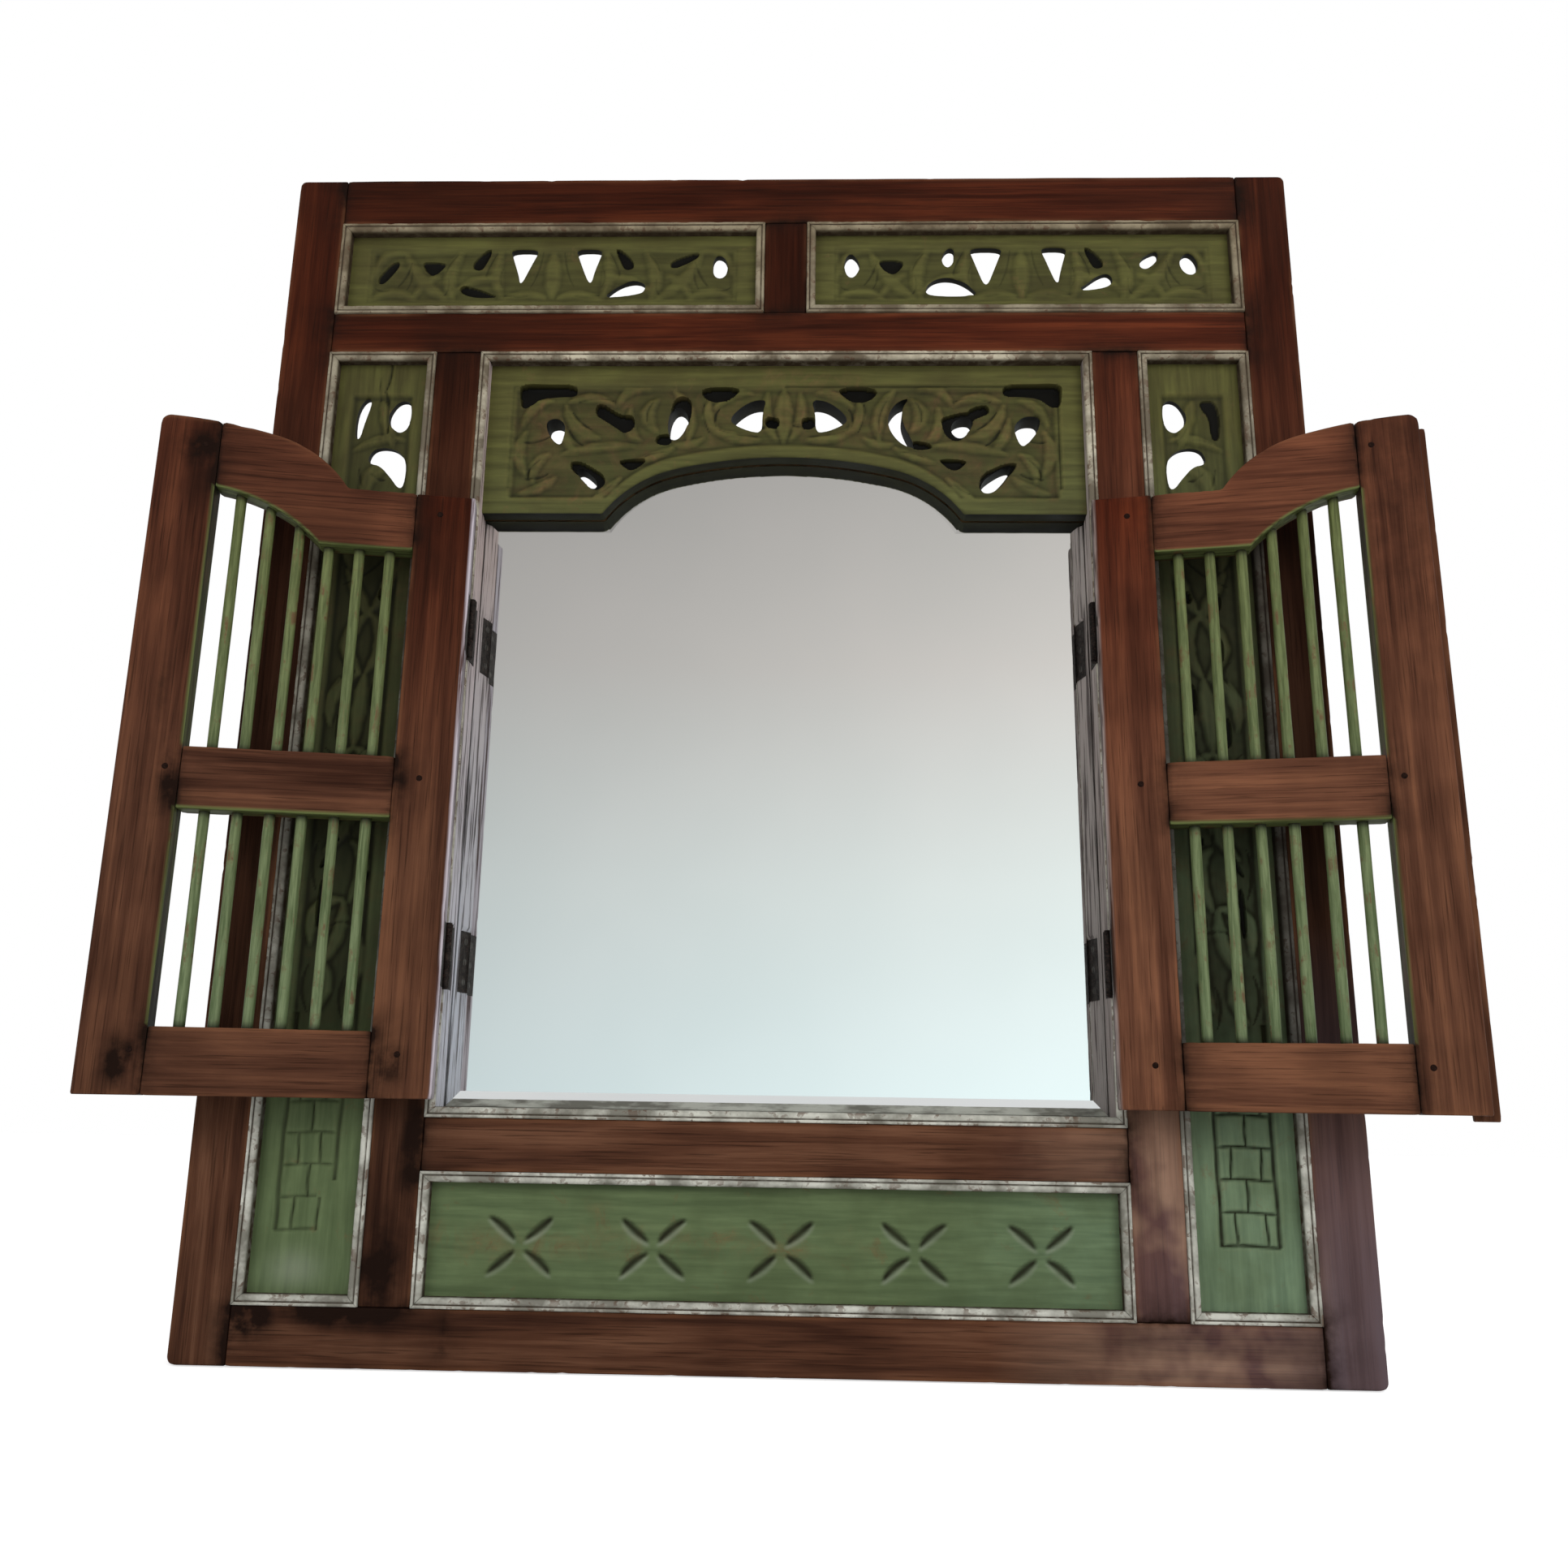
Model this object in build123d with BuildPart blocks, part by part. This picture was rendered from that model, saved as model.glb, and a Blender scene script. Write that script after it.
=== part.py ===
from build123d import *
from math import asin, atan2, cos, radians, sin, sqrt
import os

# A carved wall mirror. A pegged hardwood frame holds six openings: two pierced panels on top, a tall
# carved panel down each side, a long one at the foot, and in the middle a bevelled looking glass
# under a pierced arch board. Two barred shutters swing on iron butt hinges in front of the glass.
# The origin is the middle of the frame's foot on the wall plane: +X right, +Z up, the front faces -Y.

# Frame members
frame_width = 900.0
frame_thickness = 38.0
stile_width = 44.0
bottom_rail_height = 43.0
cross_rail_height = 40.0
second_rail_height = 39.0
top_rail_height = 46.0
inner_stile_width = 40.0
mullion_width = 38.0
frame_corner_radius = 6.0
edge_round = 0.8

# Openings between the members
bottom_opening_height = 99.0
mirror_opening_height = 661.0
top_opening_height = 92.0
column_opening_width = 96.0

# Mortise and tenon joints
tenon_length = 26.0
tenon_thickness = 12.0
tenon_shoulder = 6.0
tenon_fit = 0.1
mullion_tenon_length = 18.0

# Painted trim round each opening, and the beads that hold the panels from behind
trim_width = 8.0
trim_proud = 2.0
trim_round = 1.0
mitre_gap = 0.2
bead_width = 8.0
bead_depth = 10.0
seat_fit = 0.3

# Carved panels
panel_recess = 8.0
panel_thickness = 9.0
carve_depth = 5.5
groove_depth = 1.6
groove_width = 3.0

# Arch board over the glass, its line set by a flat shoulder, two side curves and a flatter crown
arch_recess = 10.0
arch_lip = 15.0
arch_board_thickness = 25.0
arch_board_height = 150.0
arch_crown_rise = 54.0
arch_crown_radius = 400.0
arch_crown_half_span = 95.0
arch_side_radius = 106.4

# Looking glass and its backing
glass_recess = 25.0
glass_thickness = 5.0
bevel_width = 20.0
bevel_depth = 2.5
glass_overlap = 8.0
backing_thickness = 5.0
cleat_length = 36.0
cleat_width = 14.0
cleat_thickness = 3.0
cleat_bearing = 12.0
cleat_foot_rise = 60.0
cleat_head_drop = 20.0
cleat_board_drop = 39.0

# Shutters, open at rest
shutter_gap = 5.0
arch_gap = 4.0
meeting_gap = 3.0
hinge_gap = 3.0
shutter_thickness = 20.0
shutter_stile_width = 48.0
shutter_rail_height = 50.0
shutter_mid_rail_rise = 216.0
shutter_top_rail_drop = 51.0
shutter_rail_arc_radius = 144.0
shutter_rail_kink_in = 19.0
shutter_rail_arc_drop = 7.0
shutter_corner_radius = 8.0
shutter_rest_angle = 10.0
shutter_tenon_length = 28.0
shutter_tenon_thickness = 7.0
spindle_count = 6
spindle_radius = 4.3
spindle_end_gap = 19.5
spindle_seat = 8.0
spindle_fit = 0.05
peg_radius = 2.5
hinge_peg_inset = 20.0
meeting_peg_inset = 11.0
peg_rise = 8.0
peg_depth = 18.0
peg_end_gap = 0.5
shutter_edge_round = 1.0

# Strip that covers the joint between the closed shutters
cover_width = 18.0
cover_overlap = 8.0
cover_thickness = 6.0
cover_drop = 4.5
cover_top_gap = 3.0
cover_relief = 0.8

# Iron butt hinges
hinge_height = 50.0
upper_hinge_drop = 109.0
lower_hinge_rise = 111.0
knuckle_radius = 3.5
knuckle_count = 5
knuckle_end_gap = 0.2
pin_radius = 1.5
pin_fit = 0.05
pin_head_radius = 2.6
pin_head_height = 1.2
hinge_plate_thickness = 1.6
hinge_plate_width = 19.0
knuckle_clearance = 0.5

# Screws
screw_head_radius = 2.8
screw_head_height = 1.5
screw_radius = 1.4
screw_length = 14.0
screw_fit = 0.05
screw_slot_width = 0.7
screw_slot_depth = 0.6

# Hanging plates let into the back of the outer stiles
hanger_drop = 120.0
hanger_plate_height = 50.0
hanger_plate_width = 20.0
hanger_plate_thickness = 2.0
hanger_hole_radius = 3.0
hanger_pocket_radius = 7.0
hanger_pocket_depth = 10.0
hanger_screw_offset = 18.0

# How far a cut runs past what it cuts
overrun = 1.0

# Worked out from the sizes above
cross_rail_z = bottom_rail_height + bottom_opening_height
mirror_z = cross_rail_z + cross_rail_height
second_rail_z = mirror_z + mirror_opening_height
top_opening_z = second_rail_z + second_rail_height
top_rail_z = top_opening_z + top_opening_height
frame_height = top_rail_z + top_rail_height
stile_x = frame_width / 2 - stile_width
column_x = stile_x - column_opening_width
mirror_x = column_x - inner_stile_width
mullion_x = mullion_width / 2
front_y = -frame_thickness
tenon_front = -(frame_thickness + tenon_thickness) / 2
tenon_back = tenon_front + tenon_thickness
glass_y = front_y + glass_recess
backing_y = glass_y + glass_thickness
arch_back_y = front_y + arch_recess + arch_board_thickness
shoulder_z = second_rail_z - arch_board_height
crown_centre_z = shoulder_z + arch_crown_rise - arch_crown_radius
crown_angle = asin(arch_crown_half_span / arch_crown_radius)
side_centre_reach = arch_crown_radius - arch_side_radius
side_centre_x = side_centre_reach * sin(crown_angle)
side_centre_z = crown_centre_z + side_centre_reach * cos(crown_angle)
jamb_x = mirror_x - trim_width
pin_x = jamb_x - hinge_gap / 2
pin_y = front_y - knuckle_radius
shutter_near = hinge_gap / 2
shutter_far = pin_x - meeting_gap / 2
shutter_bottom = mirror_z + trim_width + shutter_gap
shutter_top = shoulder_z - arch_gap
hanger_z = frame_height - hanger_drop
rest_turn = radians(shutter_rest_angle)
LEFT, RIGHT = -1, 1
INTO = (Align.CENTER, Align.CENTER, Align.MAX)
OUT = (Align.CENTER, Align.CENTER, Align.MIN)
SIDE_NAMES = {LEFT: "left", RIGHT: "right"}

os.makedirs("parts", exist_ok=True)


def save(builder, label):
    """Name a finished piece and write it to its own file."""
    builder.part.label = label
    export_step(builder.part, f"parts/{label}.step")


def front(depth):
    """Plane that looks out of the wall, at a depth behind the frame's front face."""
    return Plane.XZ.offset(frame_thickness - depth)


def block(x0, x1, y0, y1, z0, z1, mode=Mode.ADD):
    """Straight-sided block between two opposite corners."""
    with Locations(((x0 + x1) / 2, (y0 + y1) / 2, (z0 + z1) / 2)):
        Box(abs(x1 - x0), abs(y1 - y0), abs(z1 - z0), mode=mode)


def mortise(x0, x1, z0, z1):
    """Slot for a tenon in the middle of a frame member's thickness."""
    block(x0, x1, tenon_front - tenon_fit, tenon_back + tenon_fit, z0, z1, Mode.SUBTRACT)


def countersunk(at, grow=0.0, mode=Mode.ADD):
    """Countersunk wood screw, or the hole for one, with its head flush with the plane it is placed on."""
    with Locations(at):
        Cone(screw_radius + grow, screw_head_radius + grow, screw_head_height, align=INTO, mode=mode)
        Cylinder(screw_radius + grow, screw_length + grow, align=INTO, mode=mode)


def slotted_screws(places, label):
    """A set of countersunk screws with slotted heads, kept as separate solids of one piece."""
    with BuildPart() as screws:
        for at in places:
            countersunk(at)
            with Locations(at):
                Box(screw_head_radius * 2, screw_slot_width, screw_slot_depth, align=INTO, mode=Mode.SUBTRACT)
    save(screws, label)


def arch_marks(gap):
    """Joint between the side curve and the crown, foot of the side curve, shoulder height and crown
    height of the arch line moved up by a gap."""
    crown_radius = arch_crown_radius + gap
    side_radius = arch_side_radius + gap
    foot_z = shoulder_z + gap
    joint = (crown_radius * sin(crown_angle), crown_centre_z + crown_radius * cos(crown_angle))
    foot_x = side_centre_x + sqrt(side_radius ** 2 - (foot_z - side_centre_z) ** 2)
    foot_angle = atan2(foot_z - side_centre_z, foot_x - side_centre_x)
    middle_angle = (foot_angle + radians(90) - crown_angle) / 2
    side_middle = (side_centre_x + side_radius * cos(middle_angle),
                   side_centre_z + side_radius * sin(middle_angle))
    return joint, side_middle, (foot_x, foot_z), crown_centre_z + crown_radius


def arch_outline(gap, side_x, base_z):
    """Closed outline that is arched on top by the arch line and straight at its sides and base."""
    joint, side_middle, foot, crown = arch_marks(gap)
    with BuildSketch(front(0)) as outline:
        with BuildLine():
            ThreePointArc((-joint[0], joint[1]), (0, crown), joint)
            ThreePointArc(joint, side_middle, foot)
            ThreePointArc((-joint[0], joint[1]), (-side_middle[0], side_middle[1]), (-foot[0], foot[1]))
            Polyline(foot, (side_x, foot[1]), (side_x, base_z), (-side_x, base_z), (-side_x, foot[1]),
                     (-foot[0], foot[1]))
        make_face()
    return outline.sketch


# Upright members

with BuildPart() as stile:
    block(stile_x, stile_x + stile_width, front_y, 0, 0, frame_height)
    fillet(stile.edges().filter_by(Axis.Y).group_by(Axis.X)[-1], radius=frame_corner_radius)
    fillet(stile.edges().group_by(Axis.Y)[0], radius=edge_round)
    for base, height in ((0, bottom_rail_height), (second_rail_z, second_rail_height),
                         (top_rail_z, top_rail_height)):
        mortise(stile_x, stile_x + tenon_length + tenon_fit, base + tenon_shoulder - tenon_fit,
                base + height - tenon_shoulder + tenon_fit)
    hanger_x = stile_x + stile_width / 2
    block(hanger_x - hanger_plate_width / 2 - seat_fit, hanger_x + hanger_plate_width / 2 + seat_fit,
          -hanger_plate_thickness, overrun, hanger_z - hanger_plate_height / 2 - seat_fit,
          hanger_z + hanger_plate_height / 2 + seat_fit, Mode.SUBTRACT)
    with Locations(Plane(origin=(hanger_x, -hanger_plate_thickness, hanger_z), z_dir=(0, 1, 0))):
        Cylinder(hanger_pocket_radius, hanger_pocket_depth, align=INTO, mode=Mode.SUBTRACT)
    hanger_screw_places = [Plane(origin=(hanger_x, 0, hanger_z + offset), z_dir=(0, 1, 0))
                           for offset in (-hanger_screw_offset, hanger_screw_offset)]
    for place in hanger_screw_places:
        countersunk(place, screw_fit, Mode.SUBTRACT)
save(stile, "frame_stile_right")

with BuildPart() as stile_other:
    add(mirror(stile.part, Plane.YZ))
save(stile_other, "frame_stile_left")

with BuildPart() as inner_stile:
    block(mirror_x, column_x, front_y, 0, bottom_rail_height, second_rail_z)
    fillet(inner_stile.edges().filter_by(Axis.Z).group_by(Axis.Y)[0], radius=edge_round)
    for low, high in ((bottom_rail_height - tenon_length, bottom_rail_height),
                      (second_rail_z, second_rail_z + tenon_length)):
        block(mirror_x + tenon_shoulder, column_x - tenon_shoulder, tenon_front, tenon_back, low, high)
    mortise(mirror_x, mirror_x + tenon_length + tenon_fit, cross_rail_z + tenon_shoulder - tenon_fit,
            cross_rail_z + cross_rail_height - tenon_shoulder + tenon_fit)


# Hinge places, shared by the frame's jambs, the shutters and the hinges themselves

hinge_centres = (shutter_bottom + lower_hinge_rise, shutter_top - upper_hinge_drop)
knuckle_height = hinge_height / knuckle_count
plate_start = knuckle_radius
plate_middle = plate_start + hinge_plate_width / 2 + knuckle_clearance
screw_rows = (-hinge_height / 3, 0, hinge_height / 3)


def hinge_pin_place(side, z):
    """Level plane at the foot of one hinge, on its pin's line."""
    return Plane(origin=(side * pin_x, pin_y, z - hinge_height / 2))


def jamb_screw_places(side):
    """Planes of the screws that hold the fixed hinge plates, facing into the opening."""
    return [Plane(origin=(side * jamb_x, pin_y + plate_middle, z + row), z_dir=(-side, 0, 0),
                  x_dir=(0, 0, 1)) for z in hinge_centres for row in screw_rows]


def cut_jamb_for_hinges(side):
    """Let the fixed hinge plates, their knuckles and their screws into a jamb."""
    for z in hinge_centres:
        block(side * (jamb_x - overrun), side * (jamb_x + hinge_plate_thickness + tenon_fit),
              front_y - trim_proud - overrun, pin_y + plate_start + hinge_plate_width + seat_fit,
              z - hinge_height / 2 - seat_fit, z + hinge_height / 2 + seat_fit, Mode.SUBTRACT)
        with Locations(hinge_pin_place(side, z).offset(-pin_head_height - seat_fit)):
            Cylinder(knuckle_radius + knuckle_clearance, hinge_height + 2 * (pin_head_height + seat_fit),
                     align=OUT, mode=Mode.SUBTRACT)
    for place in jamb_screw_places(side):
        countersunk(place, screw_fit, Mode.SUBTRACT)


# Turned cleats at the back, with the recess each one takes in the frame

cleat_top_z = shoulder_z + glass_overlap - cleat_length
cleat_sides = [(x, z, 90) for x in (mirror_x, -mirror_x)
               for z in (mirror_z + cleat_foot_rise, (mirror_z + cleat_top_z) / 2,
                         cleat_top_z - cleat_head_drop, second_rail_z - cleat_board_drop)]
cleat_foot = [(x, mirror_z, 0) for x in (-mirror_x / 2, mirror_x / 2)]
cleat_head = [(x, second_rail_z, 0) for x in (-mirror_x / 2, mirror_x / 2)]


def cleat_box(x, z, turn):
    """Low and high corners, in X and Z, of the cleat at one edge of the mirror's opening."""
    outward = 1 if (x > 0 if turn else z > cross_rail_z + mirror_opening_height / 2) else -1
    along = cleat_width / 2
    near, far = sorted((-outward * (cleat_length - cleat_bearing), outward * cleat_bearing))
    if turn:
        return x + near, x + far, z - along, z + along
    return x - along, x + along, z + near, z + far


def cut_for_cleats(places):
    """Recess and screw hole in a frame member for each cleat."""
    for x, z, turn in places:
        x0, x1, z0, z1 = cleat_box(x, z, turn)
        block(x0 - seat_fit, x1 + seat_fit, -cleat_thickness, overrun, z0 - seat_fit, z1 + seat_fit,
              Mode.SUBTRACT)
        countersunk(cleat_screw_place(x, z, turn), screw_fit, Mode.SUBTRACT)


def cleat_screw_place(x, z, turn):
    """Plane of a cleat's screw, over the frame member that it bites into."""
    x0, x1, z0, z1 = cleat_box(x, z, turn)
    inset = cleat_bearing / 2
    centre_x = (x0 + x1) / 2
    centre_z = (z0 + z1) / 2
    if turn:
        centre_x = x1 - inset if x > 0 else x0 + inset
    else:
        centre_z = z1 - inset if z > cross_rail_z + mirror_opening_height / 2 else z0 + inset
    return Plane(origin=(centre_x, 0, centre_z), z_dir=(0, 1, 0))


with BuildPart() as inner_stile_right:
    add(inner_stile.part)
    for place in jamb_screw_places(RIGHT):
        countersunk(place, screw_fit, Mode.SUBTRACT)
    cut_for_cleats([place for place in cleat_sides if place[0] > 0])
save(inner_stile_right, "inner_stile_right")

with BuildPart() as inner_stile_left:
    add(mirror(inner_stile_right.part, Plane.YZ))
save(inner_stile_left, "inner_stile_left")

with BuildPart() as mullion:
    block(-mullion_x, mullion_x, front_y, 0, top_opening_z, top_rail_z)
    fillet(mullion.edges().filter_by(Axis.Z).group_by(Axis.Y)[0], radius=edge_round)
    block(-mullion_x + tenon_shoulder, mullion_x - tenon_shoulder, tenon_front, tenon_back,
          top_opening_z - mullion_tenon_length, top_rail_z + mullion_tenon_length)
save(mullion, "top_mullion")


# Rails

def rail(half_length, base, height):
    """Rail between two uprights with a tenon at each end."""
    with BuildPart() as body:
        block(-half_length, half_length, front_y, 0, base, base + height)
        fillet(body.edges().filter_by(Axis.X).group_by(Axis.Y)[0], radius=edge_round)
        block(-half_length - tenon_length, half_length + tenon_length, tenon_front, tenon_back,
              base + tenon_shoulder, base + height - tenon_shoulder)
    return body.part


with BuildPart() as top_rail:
    add(rail(stile_x, top_rail_z, top_rail_height))
    mortise(-mullion_x + tenon_shoulder - tenon_fit, mullion_x - tenon_shoulder + tenon_fit,
            top_rail_z - overrun, top_rail_z + mullion_tenon_length + tenon_fit)
save(top_rail, "top_rail")

with BuildPart() as second_rail:
    add(rail(stile_x, second_rail_z, second_rail_height))
    mortise(-mullion_x + tenon_shoulder - tenon_fit, mullion_x - tenon_shoulder + tenon_fit,
            top_opening_z - mullion_tenon_length - tenon_fit, top_opening_z + overrun)
    for side in (LEFT, RIGHT):
        mortise(side * (mirror_x + tenon_shoulder - tenon_fit), side * (column_x - tenon_shoulder + tenon_fit),
                second_rail_z - overrun, second_rail_z + tenon_length + tenon_fit)
    cut_for_cleats(cleat_head)
save(second_rail, "second_rail")

with BuildPart() as cross_rail:
    add(rail(mirror_x, cross_rail_z, cross_rail_height))
    cut_for_cleats(cleat_foot)
save(cross_rail, "lower_cross_rail")

with BuildPart() as bottom_rail:
    add(rail(stile_x, 0, bottom_rail_height))
    for side in (LEFT, RIGHT):
        mortise(side * (mirror_x + tenon_shoulder - tenon_fit), side * (column_x - tenon_shoulder + tenon_fit),
                bottom_rail_height - tenon_length - tenon_fit, bottom_rail_height + overrun)
save(bottom_rail, "bottom_rail")


# Mitred trims and beads round the openings

def mitred_strip(start, end, inward, width, y_front, y_back):
    """One strip along an opening's edge, cut at 45 degrees at both ends."""
    run = (end - start).normalized()
    near = start + run * mitre_gap
    far = end - run * mitre_gap
    with BuildSketch(Plane.XZ.offset(-y_front)) as face:
        with BuildLine():
            Polyline((near.X, near.Y), (far.X, far.Y),
                     tuple(far + (inward - run) * width)[:2],
                     tuple(near + (inward + run) * width)[:2], close=True)
        make_face()
    extrude(face.sketch, amount=y_front - y_back)


def mitred_set(x0, x1, z0, z1, width, y_front, y_back):
    """Four mitred strips round an opening, from its lower left corner round to the right."""
    corners = [Vector(x0, z0), Vector(x1, z0), Vector(x1, z1), Vector(x0, z1)]
    inwards = [Vector(0, 1), Vector(-1, 0), Vector(0, -1), Vector(1, 0)]
    for place, inward in enumerate(inwards):
        mitred_strip(corners[place], corners[(place + 1) % len(corners)], inward, width, y_front, y_back)


openings = {
    "top_left": (-stile_x, -mullion_x, top_opening_z, top_rail_z),
    "top_right": (mullion_x, stile_x, top_opening_z, top_rail_z),
    "column_left": (-stile_x, -column_x, bottom_rail_height, second_rail_z),
    "column_right": (column_x, stile_x, bottom_rail_height, second_rail_z),
    "bottom": (-mirror_x, mirror_x, bottom_rail_height, cross_rail_z),
}
trim_front = front_y - trim_proud
panel_front = front_y + panel_recess
panel_back = panel_front + panel_thickness

for name, opening in openings.items():
    with BuildPart() as trim:
        mitred_set(*opening, trim_width, trim_front, panel_front)
        fillet(trim.edges().group_by(Axis.Y)[0], radius=trim_round)
    save(trim, f"trim_{name}")
    with BuildPart() as bead:
        mitred_set(*opening, bead_width, panel_back, panel_back + bead_depth)
    save(bead, f"retaining_bead_{name}")

with BuildPart() as mirror_trim:
    mitred_set(-mirror_x, mirror_x, mirror_z, second_rail_z, trim_width, trim_front, glass_y)
    fillet(mirror_trim.edges().group_by(Axis.Y)[0], radius=trim_round)
    block(-mirror_x - overrun, mirror_x + overrun, front_y + arch_recess, glass_y + overrun,
          shoulder_z - seat_fit, second_rail_z + overrun, Mode.SUBTRACT)
    for side in (LEFT, RIGHT):
        cut_jamb_for_hinges(side)
save(mirror_trim, "trim_mirror")


# Carved panels. Every hole is a closed outline in shares of the panel's visible half width and half
# height, measured from its middle, and is repeated mirrored on the other half.

top_through_shares = (
    ((0.09, 0.63), (0.23, 0.63), (0.17, -0.24), (0.13, -0.24)),
    ((0.25, -0.68), (0.27, -0.48), (0.36, -0.26), (0.44, -0.36), (0.46, -0.68)),
    ((0.77, -0.25), (0.77, 0.10), (0.82, 0.36), (0.85, 0.12), (0.85, -0.15), (0.81, -0.28)),
)
top_blind_shares = (
    ((0.31, 0.60), (0.36, 0.58), (0.41, 0.26), (0.38, 0.16), (0.31, 0.44)),
    ((0.54, 0.10), (0.54, 0.30), (0.66, 0.52), (0.69, 0.34), (0.60, 0.06)),
)
arch_through_shares = (
    ((0.06, 0.08), (0.10, 0.52), (0.16, 0.46), (0.21, 0.27), (0.13, 0.08)),
    ((0.35, 0.26), (0.37, 0.44), (0.42, 0.58), (0.42, 0.24), (0.47, -0.10), (0.42, -0.02)),
    ((0.53, 0.24), (0.57, 0.00), (0.62, 0.18), (0.68, 0.34), (0.68, 0.42), (0.60, 0.32)),
    ((0.77, 0.04), (0.80, -0.08), (0.85, 0.16), (0.86, 0.28), (0.79, 0.28)),
    ((0.63, -0.58), (0.66, -0.68), (0.72, -0.48), (0.76, -0.32), (0.70, -0.34)),
)
arch_blind_shares = (
    ((0.18, 0.70), (0.31, 0.70), (0.30, 0.54), (0.24, 0.50)),
    ((0.75, 0.60), (0.75, 0.68), (0.92, 0.68), (0.92, 0.46), (0.84, 0.56)),
    ((0.52, -0.26), (0.61, -0.30), (0.57, -0.42)),
)
column_through_shares = (
    ((-0.62, 0.42), (-0.62, -0.02), (-0.45, -0.12), (-0.20, -0.04), (-0.18, 0.12), (-0.45, 0.40)),
    ((-0.60, -0.96), (-0.60, -0.62), (-0.40, -0.42), (-0.05, -0.34), (0.18, -0.42), (0.22, -0.58),
     (-0.05, -0.66), (-0.28, -0.84), (-0.48, -0.98)),
)
column_blind_shares = (
    ((0.12, 0.42), (0.56, 0.42), (0.54, -0.22), (0.36, -0.22), (0.34, 0.16)),
)
scroll_count = 4
scroll_height = 118.0
gouge_length = 30.0
gouge_width = 6.0
gouge_reach = 21.0
gouge_depth = 3.0
cross_place_shares = (-0.74, -0.345, 0.025, 0.415, 0.78)
brick_height = 24.0
brick_field_width = 44.0
brick_rows = 9
brick_base = 47.0
quarter_share = 0.25


def carved_holes(hole_shares, centre, half_width, half_height, flip=1):
    """Sketch of closed holes, placed by shares of a half width and half height about a centre."""
    with BuildSketch(front(0)) as holes:
        for outline_shares in hole_shares:
            with BuildLine():
                Polyline([(centre[0] + flip * across * half_width, centre[1] + up * half_height)
                          for across, up in outline_shares], close=True)
            make_face()
    return holes.sketch


def cut_from_front(holes, recess, depth):
    """Cut a sketch from the front plane down to a depth below a panel's face."""
    extrude(holes, amount=-(recess + depth), mode=Mode.SUBTRACT)


def panel_board(opening):
    """Plain board that fills an opening behind its trim."""
    x0, x1, z0, z1 = opening
    block(x0 + seat_fit, x1 - seat_fit, panel_front, panel_back, z0 + seat_fit, z1 - seat_fit)


for name in ("top_left", "top_right"):
    x0, x1, z0, z1 = openings[name]
    middle = ((x0 + x1) / 2, (z0 + z1) / 2)
    half_width = (x1 - x0) / 2 - trim_width
    half_height = (z1 - z0) / 2 - trim_width
    with BuildPart() as top_panel:
        panel_board(openings[name])
        for flip in (LEFT, RIGHT):
            cut_from_front(carved_holes(top_through_shares, middle, half_width, half_height, flip),
                           panel_recess, panel_thickness + overrun)
            cut_from_front(carved_holes(top_blind_shares, middle, half_width, half_height, flip),
                           panel_recess, carve_depth)
    save(top_panel, f"panel_{name}")

for name, side in (("column_left", LEFT), ("column_right", RIGHT)):
    x0, x1, z0, z1 = openings[name]
    middle_x = (x0 + x1) / 2
    half_width = (x1 - x0) / 2 - trim_width
    top_z = z1 - trim_width
    field = brick_field_width / 2
    field_base = z0 + trim_width + brick_base
    with BuildPart() as column_panel:
        panel_board(openings[name])
        for turn in range(scroll_count):
            middle = (middle_x, top_z - scroll_height * (turn + 0.5))
            cut_from_front(carved_holes(column_through_shares, middle, half_width, scroll_height / 2, side),
                           panel_recess, panel_thickness + overrun)
            cut_from_front(carved_holes(column_blind_shares, middle, half_width, scroll_height / 2, side),
                           panel_recess, carve_depth)
        with BuildSketch(front(panel_recess)):
            for edge in (-field, field):
                with Locations((middle_x + edge, field_base + brick_rows * brick_height / 2)):
                    Rectangle(groove_width, brick_rows * brick_height + groove_width)
            for row in range(brick_rows + 1):
                with Locations((middle_x, field_base + row * brick_height)):
                    Rectangle(brick_field_width, groove_width)
            for row in range(brick_rows):
                joints = (0,) if row % 2 else (-quarter_share, quarter_share)
                for joint in joints:
                    with Locations((middle_x + joint * brick_field_width,
                                    field_base + (row + 0.5) * brick_height)):
                        Rectangle(groove_width, brick_height)
        extrude(amount=-groove_depth, mode=Mode.SUBTRACT)
    save(column_panel, f"panel_{name}")

with BuildPart() as bottom_panel:
    panel_board(openings["bottom"])
    x0, x1, z0, z1 = openings["bottom"]
    half_width = (x1 - x0) / 2 - trim_width
    with BuildSketch(front(panel_recess)):
        for share in cross_place_shares:
            with Locations((share * half_width, (z0 + z1) / 2)):
                with PolarLocations(gouge_reach, 4, start_angle=45):
                    SlotOverall(gouge_length, gouge_width)
    extrude(amount=-gouge_depth, mode=Mode.SUBTRACT)
save(bottom_panel, "panel_bottom")


# Arch board: a thick board, rebated behind its curved edge to take the glass and its backing

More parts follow.
